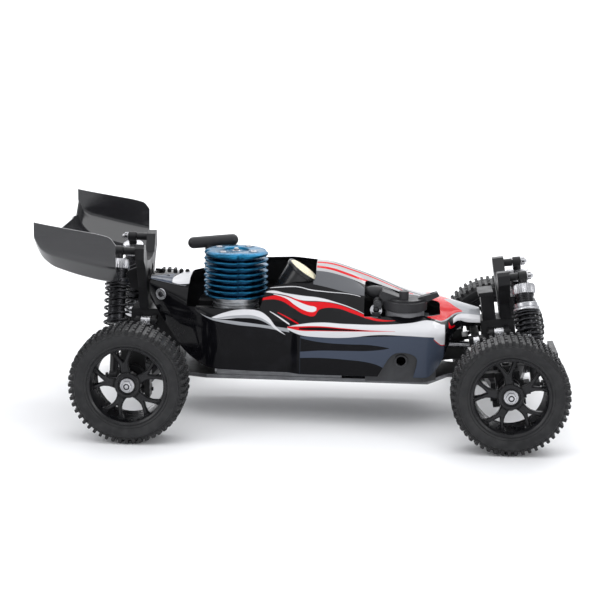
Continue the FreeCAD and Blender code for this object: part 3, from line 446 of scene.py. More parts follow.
# Flames, and one band of painted shade on a white leaf, in the order of painting: colour, then (x, lower
# edge, upper edge) with the edges as places on the shell's section: 0 hem, 1 flank, 2 shoulder, 3 sill, 4
# roof edge, 5 ridge
FLAMES = [
    (SLATE, [(-2, 0, 1.7), (40, 0, 1.72), (80, 0, 1.8), (108, 0, 1.85)]),
    (PAINT_BLACK, [(-2, 1.08, 1.64), (13, 1.15, 1.5), (33, 1.17, 1.44), (50, 1.19, 1.43), (60, 1.25, 1.38),
                   (66, 1.31, 1.33)]),
    (PAINT_BLACK, [(-2, 0, 0.82), (13, 0, 0.85), (33, 0, 0.8), (50, 0, 0.7), (60, 0, 0.5), (66, 0, 0.02)]),
    (SILVER, [(-79, 1.93, 1.945), (-66, 1.87, 1.955), (-50, 1.83, 1.955), (-31, 1.84, 1.95),
              (-10, 1.78, 1.93)]),
    (WHITE, [(-12, 1.9, 1.98), (-2, 1.74, 2.1), (13, 1.67, 2.16), (32, 1.67, 2.14), (58, 1.8, 2.15),
             (80, 1.79, 2.25), (98, 1.78, 2.42), (108, 1.85, 2.35)]),
    (RED, [(-12, 1.94, 1.99), (-3, 1.9, 2.04), (13, 1.9, 2.06), (30, 1.9, 2.02), (50, 1.91, 1.965),
           (70, 1.94, 1.96)]),
    (PAINT_BLACK, [(-3, 1.93, 2.0), (13, 1.92, 2.03), (30, 1.915, 1.995), (50, 1.925, 1.945)]),
    (RED, [(-44, 2.5, 2.52), (-30, 2.64, 2.72), (-20, 2.65, 2.79), (-8, 2.47, 2.73), (1, 2.33, 2.67),
           (8, 2.3, 2.67), (12, 2.47, 2.68), (24, 2.53, 2.65), (38, 2.41, 2.52), (49, 2.29, 2.38),
           (58, 2.24, 2.31), (70, 2.29, 2.31)]),
    (WHITE, [(-24, 2.8, 2.83), (-14, 2.7, 2.76), (-7, 2.55, 2.68), (0, 2.44, 2.6), (5, 2.4, 2.56),
             (8, 2.41, 2.55), (10, 2.46, 2.51)]),
    (WHITE, [(-30, 2.86, 2.88), (-25, 2.84, 2.93), (-15, 2.79, 2.86), (-3, 2.68, 2.81), (12, 2.68, 2.78),
             (24, 2.655, 2.7), (37, 2.54, 2.575), (47, 2.4, 2.42)]),
    (WHITE, [(-70, 1.95, 1.97), (-60, 1.98, 2.2), (-49, 2.06, 2.33), (-35, 2.09, 2.34), (-27, 2.02, 2.2),
             (-21, 1.84, 1.96), (-13, 1.66, 1.68)]),
    # painted shade: silver grey over the lower part of the white leaf just above, for the shade there
    (SILVER, [(-66, 1.96, 1.98), (-50, 2.06, 2.15), (-36, 2.09, 2.18), (-24, 1.93, 1.98)]),
    (WHITE, [(-26, 2.33, 2.36), (-18, 2.18, 2.23), (-10, 2.02, 2.08)]),
    (RED, [(-20, 2.32, 2.35), (-12, 2.2, 2.25), (-3, 2.07, 2.12)]),
    (WHITE, [(-30, 2.99, 3.01), (-20, 3.02, 3.06), (-5, 3.04, 3.08), (4, 2.97, 3.01), (16, 2.95, 2.985),
             (40, 2.935, 2.965), (43, 2.9, 2.93)]),
    (GREY, [(6, 3.2, 3.9), (22, 3.08, 3.82), (36, 2.99, 3.7), (46, 2.96, 3.3)]),
    (PEARL, [(6, 3.88, 5.2), (22, 3.8, 5.2), (36, 3.7, 5.2), (50, 3.5, 5.2), (80, 3.3, 5.2), (97, 3.2, 5.2)]),
    (RED, [(8, 4.08, 4.26), (22, 3.96, 4.14), (36, 3.84, 4.02), (54, 3.72, 3.86)]),
    (RED, [(8, 4.5, 4.68), (40, 4.42, 4.62), (63, 4.27, 4.45), (84, 4.05, 4.2)]),
    (PAINT_BLACK, [(20, 4.8, 4.86), (50, 4.72, 4.82), (80, 4.45, 4.6), (96, 4.25, 4.4)]),
    (SILVER, [(100, 2.45, 5.2), (118, 2.5, 5.2), (136, 2.55, 5.2)]),
    (RED, [(94, 2.5, 5.2), (104, 2.5, 5.2), (110, 2.55, 4.5), (117, 2.65, 3.4), (122, 2.75, 2.85)]),
    (WHITE, [(99, 1.72, 1.86), (103, 1.5, 1.86), (106, 1.25, 1.86), (108, 1.05, 1.86)]),
    (RED, [(99, 1.68, 1.73), (103, 1.45, 1.51), (106, 1.19, 1.26), (108, 0.98, 1.06)]),
    (WHITE, [(114, 1.95, 2.3), (120, 1.5, 2.5), (128, 1.0, 2.6), (136, 0.9, 2.6)]),
    (RED, [(110.4, 2.2, 2.46), (112, 1.8, 2.1), (114, 1.4, 1.7), (116, 1.0, 1.3)]),
    (SLATE, [(-121, 2.95, 3.6), (-110, 3.0, 4.3), (-103, 3.1, 4.7)]),
    (WHITE, [(-104, 3.2, 3.6), (-100, 3.1, 4.6), (-94, 3.2, 5.2), (-87, 3.4, 5.2)]),
    (SILVER, [(-120, 2.93, 2.97), (-104, 2.98, 3.02), (-92, 3.05, 3.1)]),
]


def painted_shell():
    """Clear shell painted from inside: gloss black with flames that follow the body's lines, and a band of
    painted shade.
    """
    finish = Finish("painted_shell", PAINT_BLACK, 0.1, Specular_IOR_Level=0.1)
    finish.rounded(0.7)
    flake = finish.noise(14, 3)
    tone = finish.mix(finish.ramp(flake, 0, 0.35, 0.5, 0.8), PAINT_BLACK, (0.016, 0.016, 0.02))
    place = finish.node("ShaderNodeSeparateXYZ")
    finish.feed(place.inputs[0], finish.node("ShaderNodeUVMap", uv_map="paint").outputs[0])
    along, across = place.outputs["X"], place.outputs["Y"]
    for colour, edges in FLAMES:
        places = [(x - PAINT_REAR) / (PAINT_FRONT - PAINT_REAR) for x, _, _ in edges]
        low = finish.curve(along, [(u, edge[1] / 5) for u, edge in zip(places, edges)])
        high = finish.curve(along, [(u, edge[2] / 5) for u, edge in zip(places, edges)])
        inside = finish.math("MINIMUM", finish.math("SUBTRACT", across, low),
                             finish.math("SUBTRACT", high, across))
        ends = finish.math("MINIMUM", finish.math("SUBTRACT", along, places[0]),
                           finish.math("SUBTRACT", places[-1], along))
        mask = finish.ramp(finish.math("MINIMUM", inside, ends), 0.0, 1.0, 0.0, 0.0025)
        tone = finish.mix(mask, tone, colour)
    finish.set("Base Color", tone)
    finish.set("Roughness", finish.ramp(finish.noise(5, 4, (0.3, 1, 1)), 0.06, 0.16, 0.45, 0.75))
    finish.bump(finish.noise(30, 2), 0.5, 0.3)
    return finish.done()


def finishes():
    """Every finish by the name that the pieces use."""
    return {
        "nylon": moulded("nylon_black", (0.005, 0.005, 0.006), (0.028, 0.028, 0.03), 0.4),
        "dark": moulded("nylon_grey", (0.018, 0.018, 0.02), (0.07, 0.07, 0.07), 0.45),
        "rim": moulded("rim_satin", (0.005, 0.005, 0.006), (0.03, 0.03, 0.032), 0.28, 0.3),
        "tank": moulded("tank_smoke", (0.03, 0.031, 0.034), (0.1, 0.1, 0.11), 0.35),
        "servo": moulded("servo_case", (0.012, 0.012, 0.013), (0.06, 0.06, 0.06), 0.35),
        "gloss": glossy("wing_black", (0.013, 0.013, 0.015), 0.16, 0.75),
        "cup": glossy("cup_rubber", (0.011, 0.011, 0.012), 0.22),
        "silver": turned("silver_alloy", (0.52, 0.52, 0.54), 0.3),
        "cast": turned("cast_alloy", (0.52, 0.53, 0.55), 0.42),
        "steel": turned("turned_steel", (0.58, 0.58, 0.6), 0.24, (1, 1, 6)),
        "gunmetal": turned("gunmetal_plate", (0.15, 0.153, 0.16), 0.36, (0.2, 3, 1)),
        "neck": moulded("tank_neck_grey", (0.16, 0.16, 0.17), (0.3, 0.3, 0.31), 0.35),
        "black_metal": turned("black_metal", (0.035, 0.035, 0.038), 0.25, (1, 1, 5)),
        "blue": turned("blue_anodised", (0.012, 0.125, 0.24), 0.27, (1, 1, 5)),
        # painted shade: the head's core between the fins is a darker copy of the blue anodised finish
        "blue_core_painted_shade": turned("blue_core_painted_shade", (0.02, 0.09, 0.18), 0.35),
        "tyre": rubber("tyre_rubber", (0.006, 0.006, 0.007), (0.024, 0.024, 0.025)),
        "foam": sponge("filter_foam", (0.86, 0.8, 0.6), (0.6, 0.52, 0.34)),
        "shell": painted_shell(),
    }


LOOK = finishes()

# CAD nodes whose own shape is shown, with the finish of each
NODE_LOOKS = {
    "chassis_plate": "gunmetal", "front_gearbox": "nylon", "rear_gearbox": "nylon", "front_tower": "nylon",
    "rear_tower": "nylon", "crankcase": "cast", "fuel_tank": "tank", "exhaust": "cast",
    "electronics": "servo", "front_bumper": "nylon", "servo_saver": "nylon", "drag_link": "nylon",
    "left_tie_rod": "steel", "right_tie_rod": "steel", "centre_drive": "steel", "clutch_bell": "steel",
    "fuel_lid": "dark", "pull_handle": "dark", "arm": "nylon", "upper_link": "steel",
    "hub_carrier": "nylon", "knuckle": "nylon", "drive_shaft": "steel", "shock_body": "black_metal",
    "shock_rod": "nylon", "spring": "black_metal", "rim": "rim", "tyre": "tyre", "body_shell": "shell",
    "wing": "gloss", "cooling_head": "blue", "air_filter": "cup",
}
# The starter's plastic case begins this far behind the middle of the head
STARTER_SETBACK = 16.9


def finish_nodes():
    """Every CAD node gets its finish, and the plastic starter behind the alloy engine case its own."""
    for name, node in frame["nodes"].items():
        stem = name
        for end, side, _ in CORNERS:
            stem = stem.removeprefix(end + "_" + side + "_")
        node.data.materials.clear()
        node.data.materials.append(LOOK[NODE_LOOKS[stem]])
    engine = frame["nodes"]["crankcase"].data
    engine.materials.append(LOOK["nylon"])
    starter_front = middle("cooling_head").x - STARTER_SETBACK
    for face in engine.polygons:
        if face.center.x < starter_front * MM:
            face.material_index = 1


# ---------------------------------------------------------------- wheels
TREAD_ROWS = 52
SPOKES, SPOKE_TURN = 5, 28
CUP_DEPTH = 11.0
# Half sections of the tyre: distance from the axle, and distance from the wheel's middle plane
TYRE_PROFILE = [(27.8, 9.0), (28.4, 12.4), (29.6, 13.6), (31.2, 14.2), (31.6, 13.9), (32.2, 14.3),
                (35.0, 15.3), (37.3, 15.9), (38.0, 15.9), (38.4, 15.0), (39.6, 14.3), (40.8, 12.6),
                (41.0, 6.0)]
TYRE_LINING = [(39.4, 8.0), (38.6, 11.5), (36.5, 12.8), (31.8, 11.2), (29.0, 9.6)]


def tyre_shape():
    """Carcass with ringed sidewalls, and rows of square knobs across the tread."""
    shape = Shape()
    outer = TYRE_PROFILE + [(r, -h) for r, h in reversed(TYRE_PROFILE)]
    lining = [(r, -h) for r, h in reversed(TYRE_LINING)] + TYRE_LINING
    shape.add(lathe((outer + lining)[::-1], 104, "joined"))
    for row in range(TREAD_ROWS):
        turn = Matrix.Rotation(TAU * row / TREAD_ROWS, 4, "Z")
        across = (-9.9, -3.3, 3.3, 9.9) if row % 2 else (-6.6, 0.0, 6.6)
        for height in across:
            knob = block((2.5, 4.6, 3.2), (0, 0, 0), 0.35, 0.86)
            stand = toward((41.75, 0, height), (1, 0, 0), (0, 1, 0))
            shape.add(knob, turn @ stand)
        for sign in (1, -1):
            knob = block((2.7, 3.6, 3.6), (0, 0, 0), 0.35, 0.84)
            stand = toward((41.1, 0, sign * 13.3), (1, 0, sign * 0.22), (0, 1, 0))
            shape.add(knob, turn @ stand)
    return shape


def spoke_part(lean):
    """One prong of a forked spoke, from the hub to the rim, in the wheel's own plane."""
    rings = []
    # distance from the axle, share of the lean, half width, height of the front face, thickness
    for radius, share, half, face, thick in ((6.5, 0, 4.3, 10.6, 5.0), (10.5, 0, 3.3, 10.4, 4.6),
                                             (14.0, 0.16, 2.5, 10.0, 4.2), (17.5, 0.45, 1.7, 9.6, 3.8),
                                             (21.5, 0.78, 1.35, 9.1, 3.8), (25.0, 1.0, 1.8, 8.6, 4.4),
                                             (26.6, 1.1, 2.6, 8.2, 5.2)):
        turn = math.radians(lean * share)
        x, y = radius * math.cos(turn), radius * math.sin(turn)
        side = Vector((-math.sin(turn), math.cos(turn), 0))
        soft = min(half * 0.5, 0.9)
        ring = []
        for across, height in ((-half, face - thick), (half, face - thick), (half, face - soft),
                               (half - soft, face), (soft - half, face), (-half, face - soft)):
            ring.append(tuple(Vector((x, y, height)) + side * across))
        rings.append(ring)
    return skinned(rings)


def rim_shape(cup):
    """Dished five-spoke rim with its hub, hexagon drive, stub axle with the cup, and flanged nut."""
    shape = Shape()
    barrel = [(25.6, -13.8), (29.4, -14.0), (29.5, -12.6), (27.4, -11.6), (27.0, 7.5), (27.6, 9.0),
              (28.2, 12.2), (29.4, 13.2), (29.4, 13.9), (28.6, 14.0), (27.2, 13.0), (26.4, 10.4), (26.0, 5.0),
              (25.6, 0.0)]
    shape.add(lathe(barrel, 96, "joined"))
    for k in range(SPOKES):
        turn = Matrix.Rotation(math.radians(SPOKE_TURN) + TAU * k / SPOKES, 4, "Z")
        for lean in (-14, 14):
            shape.add(spoke_part(lean), turn)
    hub = [(0, 2.0), (8.4, 2.0), (9.4, 3.0), (9.6, 9.6), (9.0, 10.8), (7.4, 11.4), (6.9, 11.4), (6.6, 10.2),
           (5.9, 10.0), (0, 10.0)]
    shape.add(lathe(hub, 48))
    shape.add(lathe([(0, 9.9), (5.2, 9.9), (5.4, 10.4), (5.2, 11.0), (4.3, 11.2), (0, 11.2)], 40), slot=1)
    for k in range(16):
        turn = Matrix.Rotation(TAU * k / 16, 4, "Z")
        shape.add(block((0.5, 0.7, 0.5), (4.75, 0, 11.1), 0.08), turn, slot=1)
    shape.add(hexagon(7.0, 11.0, 14.6, 0.4), slot=1)
    shape.add(lathe([(0, 14.5), (2.4, 14.5), (2.3, 14.9), (1.9, 15.0), (1.2, 14.5), (0, 14.4)], 24), slot=2)
    shape.add(hexagon(12.0, -5.0, 2.2), slot=2)
    shape.add(lathe([(0, -4.5), (3.0, -4.5), (3.0, cup[1]), (0, cup[1])][::-1], 24), slot=2)
    mouth, floor = cup
    shape.add(lathe([(0, floor), (6.2, floor), (6.6, floor - 0.5), (6.6, mouth + 0.3), (6.3, mouth),
                     (5.7, mouth), (5.7, floor - 1.5), (0, floor - 1.5)][::-1], 40), slot=2)
    return shape


def wheels():
    """The same tyre four times, and a rim whose drive cup reaches as far in as the CAD's."""
    tyre = tyre_shape()
    for end, side, sign in CORNERS:
        stem = end + "_" + side
        hub = middle(stem + "_tyre")
        outward = toward(hub, (0, sign, 0))
        inner = abs(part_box(stem + "_rim")[0 if sign > 0 else 1].y / MM)
        mouth = inner - abs(hub.y)
        rim = rim_shape((mouth, mouth + CUP_DEPTH))
        rim_looks = [LOOK["rim"], LOOK["silver"], LOOK["black_metal"]]
        for name, shape, looks, slot in (("tyre", tyre, [LOOK["tyre"]], "tyre"),
                                         ("rim", rim, rim_looks, "rim_plastic")):
            placed = Shape().add((shape.verts, shape.faces), outward)
            placed.slots = shape.slots
            made = piece(stem + "_" + name + "_detail", placed, looks, stem + "_wheel")
            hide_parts(stem + "_" + name)


# ---------------------------------------------------------------- dampers
LOWER_EYE_R = 4.4


def damper_line(stem):
    """Upper eye of a damper and the direction down its rod, in millimetres."""
    top = mm(JOINTS[stem + "_shock_swing"]["pos_m"])
    return top, -Vector(JOINTS[stem + "_shock_slide"]["axis"]).normalized()


def eye_ring(radius, bore, half):
    """Rounded ring round the X axis of a damper's end."""
    soft = 0.5
    profile = [(bore, -half), (radius - soft, -half), (radius, soft - half), (radius, half - soft),
               (radius - soft, half), (bore, half)]
    return lathe(profile, 32, "joined")


def knurled(radius, angle):
    """Ribbed round of the damper's cap."""
    return radius + 0.28 * math.cos(30 * angle)


def damper_body(stem, end):
    """Upper eye, knurled cap, threaded body and spring collar."""
    top, down = damper_line(stem)
    place = toward(top, down)
    across = toward(top, place.to_3x3() @ Vector((1, 0, 0)))
    body_end = reach(stem + "_shock_body", top * MM, down)[1]
    shape = Shape()
    shape.add(eye_ring(4.0, 1.6, 3.2), across, 0)
    shape.add(lathe([(0, 2.2), (3.2, 2.2), (3.2, 6.6), (0, 6.6)], 24), place, 0)
    cap = [(0, 6.4), (6.6, 6.4), (8.0, 7.0), (8.2, 8.0), (8.2, 13.2), (7.9, 14.0), (0, 14.0)]
    shape.add(lathe(cap, 120, radius_at=lambda r, a: knurled(r, a) if r > 8.1 else r), place, 1)
    barrel = [(0, 13.8), (7.2, 13.8), (7.2, 15.8), (6.8, 16.2)]
    level = 16.8
    while level < body_end - 10.0:
        barrel += [(6.8, level), (6.4, level + 0.35), (6.4, level + 0.85), (6.8, level + 1.2)]
        level += 1.6
    barrel += [(6.8, level), (6.8, body_end - 4.0), (7.2, body_end - 3.6), (7.2, body_end - 0.8),
               (6.6, body_end), (1.6, body_end), (1.6, body_end - 2.0), (0, body_end - 2.0)]
    shape.add(lathe(barrel, 48), place, 2)
    collar_slot = 1 if end == "front" else 2
    collar = [(6.0, 21.4), (8.6, 21.4), (9.0, 21.8), (9.0, 24.4), (8.5, 24.7), (8.5, 25.1), (9.9, 25.4),
              (10.1, 25.8), (10.1, 26.7), (9.8, 27.0), (6.0, 27.0)]
    shape.add(lathe(collar, 60, "joined"), place, collar_slot)
    made = piece(stem + "_damper_body", shape, [LOOK["nylon"], LOOK["silver"], LOOK["black_metal"]],
                 stem + "_shock_body")
    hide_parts(stem + "_shock_body")


def damper_rod(stem):
    """Steel rod with its piston, the spring's cup and the lower eye."""
    top, down = damper_line(stem)
    place = toward(top, down)
    length = reach(stem + "_shock_rod", top * MM, down)[1] - LOWER_EYE_R
    cup_at = length - 29.0
    foot = toward(top + down * length, place.to_3x3() @ Vector((1, 0, 0)))
    shape = Shape()
    cup = [(0, 0.1), (7.6, 0.1), (7.6, -1.2), (8.0, -1.2), (8.2, 0.2), (10.0, 0.4), (10.2, 0.9), (10.2, 2.5),
           (9.6, 3.0), (0, 3.0)]
    shape.add(lathe([(r, cup_at + t) for r, t in cup], 60), place, 1)
    stalk = [(0, cup_at + 2.8), (4.6, cup_at + 2.8), (4.6, cup_at + 5.0), (3.4, cup_at + 6.0),
             (3.2, length - 4.5), (3.6, length - 3.0), (0, length - 2.6)]
    shape.add(lathe(stalk, 32), place, 0)
    shape.add(eye_ring(LOWER_EYE_R, 2.1, 3.2), foot, 0)
    shape.add(lathe([(0, 31.0), (1.5, 31.0), (1.5, cup_at + 2.9), (0, cup_at + 2.9)], 24), place, 2)
    shape.add(lathe([(0, 30.2), (5.0, 30.2), (5.2, 30.6), (5.2, 32.6), (5.0, 33.0), (0, 33.0)], 32), place, 2)
    looks = [LOOK["nylon"], LOOK["silver"], LOOK["steel"]]
    made = piece(stem + "_damper_rod", shape, looks, stem + "_shock_rod")
    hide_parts(stem + "_shock_rod")


def spring(stem):
    """Black wire with closed end coils, wound between its seats."""
    top, down = damper_line(stem)
    place = toward(top, down)
    low, high = reach(stem + "_spring", top * MM, down)
    wire, radius, turns, steps = 0.95, 9.0, 8.0, 30
    closing = 0.55  # how much less the end coils climb than the others, as a share
    points = []
    for k in range(int(turns * steps) + 1):
        turn = k / steps
        in_end_coils = min(turn, 1.0) + max(turn - turns + 1.0, 0.0)
        share = (turn - closing * in_end_coils) / (turns - 2 * closing)
        height = low + wire + (high - low - 2 * wire) * share
        angle = TAU * turn
        points.append(place @ Vector((radius * math.cos(angle), radius * math.sin(angle), height)))
    shape = Shape().add(tube(points, wire, 10))
    made = piece(stem + "_coil_spring", shape, [LOOK["black_metal"]], sharp=60)
    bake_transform(made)
    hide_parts(stem + "_spring")


def dampers():
    for end, side, _ in CORNERS:
        stem = end + "_" + side
        damper_body(stem, end)
        damper_rod(stem)
        spring(stem)


# ---------------------------------------------------------------- engine
HEAD_NOTCH = math.radians(-77)
PLUG_PROUD = 1.5


def head_outline(radius, angle):
    """Fins are notched four times, so that the head's screws can be reached."""
    off = min(abs((angle - HEAD_NOTCH + k * TAU / 4 + math.pi) % TAU - math.pi) for k in range(4))
    return radius - 2.6 * math.exp(-(off / math.radians(6)) ** 2)


def cooling_head():
    """Round fins on a core painted darker as the shade between the fins, a crown with four recessed screws,
    and the glow plug in its well.
    """
    low, high = (mm(corner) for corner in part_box("cooling_head"))
    centre = (low + high) / 2
    outer = (high.x - low.x) / 2
    foot, top = low.z, high.z - PLUG_PROUD
    pitch, count = 4.5, 8
    shape = Shape()
    base = Matrix.Translation((centre.x, centre.y, 0))
    # the core takes the darker blue, painted shade between the fins
    shape.add(lathe([(0, foot), (16.0, foot), (16.0, top - 4), (0, top - 4)], 64), base, 1)
    for k in range(count - 1):
        level = foot + k * pitch
        fin = [(0, level), (outer - 0.5, level), (outer - 0.1, level + 0.3), (outer - 0.1, level + 1.3),
               (outer - 0.5, level + 1.6), (0, level + 1.6)]
        shape.add(lathe(fin, 120, radius_at=head_outline), base, 0)
    crown = [(0, top - 3.6), (outer - 0.6, top - 3.6), (outer - 0.2, top - 3.0), (outer - 0.3, top - 1.8),
             (outer - 1.6, top - 0.7), (outer - 3.4, top), (10.6, top), (10.0, top - 0.4), (9.4, top - 1.6),
             (5.2, top - 1.6), (4.8, top - 0.8), (3.6, top - 0.8), (3.4, top - 5.0), (0, top - 5.0)]
    shape.add(lathe(crown, 120, radius_at=lambda r, a: head_outline(r, a) if r > 18 else r), base, 0)
    for k in range(4):
        turn = HEAD_NOTCH + TAU / 8 + TAU * k / 4
        seat = (centre.x + 16.5 * math.cos(turn), centre.y + 16.5 * math.sin(turn), top - 0.9)
        shape.add(lathe([(4.0, 0.5), (4.2, 1.1), (3.4, 1.1), (3.2, 0.2), (0, 0.2)][::-1], 28),
                  Matrix.Translation(seat), 0)
        shape.add(cap_screw(2.4, 1.6), Matrix.Translation(seat), 2)
    plug = [(0, -3.0), (3.1, -3.0), (3.1, -0.8), (2.0, -0.6), (2.0, 0.6), (1.5, 0.9), (1.5, 1.4), (0, 1.5)]
    shape.add(lathe(plug, 24), Matrix.Translation((centre.x, centre.y, top)), 2)
    made = piece("finned_head", shape, [LOOK["blue"], LOOK["blue_core_painted_shade"], LOOK["silver"]], "chassis", 40)
    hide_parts("cooling_head")


# Middle of the filter's face, how far the face looks up from level, and the carburettor below it
FILTER_FACE = (-1, -17, 113.5)
FILTER_LEAN = math.radians(55)
CARB_AT = (-24.0, -22.0)


def air_filter():
    """Rubber cup on the carburettor's neck, with its foam element standing proud of the rim."""
    place = toward(FILTER_FACE, (math.cos(FILTER_LEAN), 0, math.sin(FILTER_LEAN)))
    shape = Shape()
    cup = [(0, -26.8), (7.0, -26.6), (10.8, -25.2), (12.2, -22.4), (12.8, -18), (13.3, -8), (13.6, -3.4),
           (14.2, -3.0), (14.4, -2.2), (14.4, -0.8), (14.1, -0.1), (13.2, 0.0), (12.8, -0.6), (12.7, -3.0),
           (0, -3.0)]
    shape.add(lathe(cup, 72), place, 0)
    foam = [(12.7, -3.0), (12.7, -0.4), (12.0, 0.4), (9.5, 0.9), (5.0, 1.2), (0, 1.25)]
    shape.add(lathe(foam, 60), place, 1)
    low = mm(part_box("air_filter")[0]).z
    neck = [(0, 0), (5.4, 0), (5.4, 1.6), (4.8, 2.0), (4.8, 9.0), (0, 9.0)]
    shape.add(lathe(neck, 32), Matrix.Translation((*CARB_AT, low)), 0)
    made = piece("air_filter_cup", shape, [LOOK["cup"], LOOK["foam"]], "chassis", 40)
    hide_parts("air_filter")


# ---------------------------------------------------------------- body shell and wing
# Half sections of the shell: x, then (y, z) of hem, flank, shoulder, sill, roof edge and ridge
SHELL_SECTIONS = [
    (-120.9, ((19, 88), (24, 96), (25, 101), (20, 104), (14, 106), (0, 107))),
    (-95, ((34, 52), (36, 72), (36, 93), (27, 100), (16, 104), (0, 105))),
    (-74, ((50, 41), (52, 57), (51, 82), (33, 99), (18, 109), (0, 111))),
    (-40, ((51, 40), (53, 56), (53, 79), (34, 102), (22, 116), (0, 118))),
    (-10, ((52, 40), (54, 56), (54, 76), (34, 103), (24, 117), (0, 119.5))),
    (-2, ((57, 40), (59, 56), (58, 76), (34, 103), (22, 116), (0, 119.8))),
    (19, ((57, 40), (59, 56), (59, 76.5), (33, 101.5), (14, 115), (0, 119.4))),
    (50, ((57, 40), (59, 56), (59, 77), (31, 98.5), (9, 106), (0, 109))),
    (78, ((57, 40), (59, 56), (59, 77), (28, 93.5), (9, 95.8), (0, 97.2))),
    (97, ((57, 40), (59, 56), (59, 77), (27, 90.5), (9, 92), (0, 92.5))),
    (107, ((46, 52), (51, 62), (55, 72), (25, 88), (9, 90), (0, 90))),
    (117, ((23, 73), (26, 77), (26, 81), (17, 86), (9, 87.5), (0, 88))),
    (135.9, ((19, 74), (21, 76.5), (20, 79), (11, 82), (6, 83), (0, 83.2))),
]
SECTION_SOFTNESS = (0, 0.4, 0.14, 0.3, 0.35, 0.4)
SKIN = 1.3
TANK_AT = (77, -31)
NECK_HOLE_R = 15.2


def knot_softness(knots, share, most):
    """Rounding at each knot, from the shorter of the stretches beside it."""
    spans = [b - a for a, b in zip(knots, knots[1:])]
    return [min(most, share * min(pair)) for pair in zip([spans[0]] + spans, spans + [spans[-1]])]


def spread(start, end, pitch):
    count = math.ceil((end - start) / pitch)
    return [start + (end - start) * k / count for k in range(count + 1)]


def shell_row(x):
    """Section of the shell at x, from the right hem over the roof to the left hem."""
    knots = [section[0] for section in SHELL_SECTIONS]
    soft = knot_softness(knots, 0.4, 14)
    half = [softened(knots, [Vector(section[1][k]) for section in SHELL_SECTIONS], soft, x) for k in range(6)]
    ring = [Vector((-p.x, p.y)) for p in half] + half[-2::-1]
    softness = SECTION_SOFTNESS + SECTION_SOFTNESS[-2::-1]
    return [(k / 8, softened(range(11), ring, softness, k / 8)) for k in range(81)]


def cutter(name, *prisms):
    """Prisms to cut with, each an outline, its two ends, and the axis it runs along (1 is Y, 2 is Z)."""
    shape = Shape()
    for outline, low, high, axis in prisms:
        rings = [[pair[:axis] + (level,) + pair[axis:] for pair in outline] for level in (low, high)]
        shape.add(skinned(rings))
    made = piece(name, shape, [])
    mesh = bmesh.new()
    mesh.from_mesh(made.data)
    bmesh.ops.recalc_face_normals(mesh, faces=mesh.faces)
    mesh.to_mesh(made.data)
    mesh.free()
    return made


def skin_piece(name, rows, finishes, thickness, cutters, places=None):
    """Thin sheet through rows of points, thickened inward and cut. Places go to a UV map for its paint."""
    columns = len(rows[0])
    faces = [(r * columns + c, (r + 1) * columns + c, (r + 1) * columns + c + 1, r * columns + c + 1)
             for r in range(len(rows) - 1) for c in range(columns - 1)]
    made = piece(name, Shape().add(([p for row in rows for p in row], faces)), finishes)
    if places:
        layer = made.data.uv_layers.new(name="paint")
        for loop in made.data.loops:
            layer.data[loop.index].uv = places[loop.vertex_index]
    skin = made.modifiers.new("skin", "SOLIDIFY")
    skin.thickness, skin.offset = thickness * MM, -1
    skin.material_offset = len(finishes) - 1
    for tool in cutters:
        cut = made.modifiers.new(tool.name, "BOOLEAN")
        cut.object, cut.operation, cut.solver = tool, "DIFFERENCE", "EXACT"
    applied(made, "chassis", 40)
    for tool in cutters:
        bpy.data.objects.remove(tool)
    return made


def body_shell():
    """Painted shell with openings for the engine, the tank's lid, neck and port, and the rear tower."""
    levels = spread(SHELL_SECTIONS[0][0], SHELL_SECTIONS[-1][0], 2.6)
    rows, places = [], []
    for x in levels:
        row = shell_row(x)
        rows.append([(x, y, z) for _, (y, z) in row])
        along = (x - PAINT_REAR) / (PAINT_FRONT - PAINT_REAR)
        places += [(along, min(place, 10 - place) / 5) for place, _ in row]
    engine_bay = rounded_outline([(-90, -60), (-90, 15), (8, 15), (8, -30), (-30, -34), (-38, -60)], 7)
    tank_hole = rounded_outline([(46, -60), (46, -12), (104, -12), (104, -60)], 5)
    tail = rounded_outline([(-130, -9), (-130, 9), (-112, 9), (-112, -9)], 3)
    window = rounded_outline([(52, 30), (66, 56), (71, 59.5), (80, 59.5), (86, 57), (87.5, 53), (82, 30)], 5)
    neck = []
    for k in range(48):
        turn = TAU * k / 48
        neck.append((TANK_AT[0] + NECK_HOLE_R * math.cos(turn), TANK_AT[1] + NECK_HOLE_R * math.sin(turn)))
    above = 140
    cutters = [cutter("shell_openings", (engine_bay, 87, above, 2), (tank_hole, 84.5, above, 2),
                      (tail, 95, above, 2), (window, -70, -50, 1)),
               cutter("neck_opening", (neck, 78, 90, 2))]
    made = skin_piece("painted_body", rows, [LOOK["shell"], LOOK["dark"]], SKIN, cutters, places)
    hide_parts("body_shell")


# Half sections of the wing: x, floor z in the middle and at its edge, floor half width, crease z, top z
WING_SECTIONS = [
    (-137.1, 111.6, 109.6, 72, 124.3, 141.5),
    (-141, 111.6, 109.6, 72, 124.8, 147.0),
    (-151, 111.9, 110.3, 72, 126.8, 149.5),
    (-171, 113.6, 115.3, 73, 131.0, 152.5),
    (-187, 119.1, 121.1, 74, 134.5, 155.0),
    (-194, 127.1, 128.1, 76, 139.0, 156.2),
    (-197.3, 136.1, 136.3, 79, 146.0, 156.9),
]
WING_HALF = 89.9
WING_SCREWS = [(x, y) for x in (-160, -172) for y in (11.5, -11.5)]
BUTTON_FOOT = 113.2


def wing_rib(x, y):
    """Height of the two pressed ribs that run slantwise over the floor."""
    start, end = Vector((-193, 62)), Vector((-140, 24))
    way = (end - start).normalized()
    off = Vector((x, abs(y))) - start
    aside = off.x * way.y - off.y * way.x
    return 1.6 * math.exp(-(aside / 2.4) ** 2)


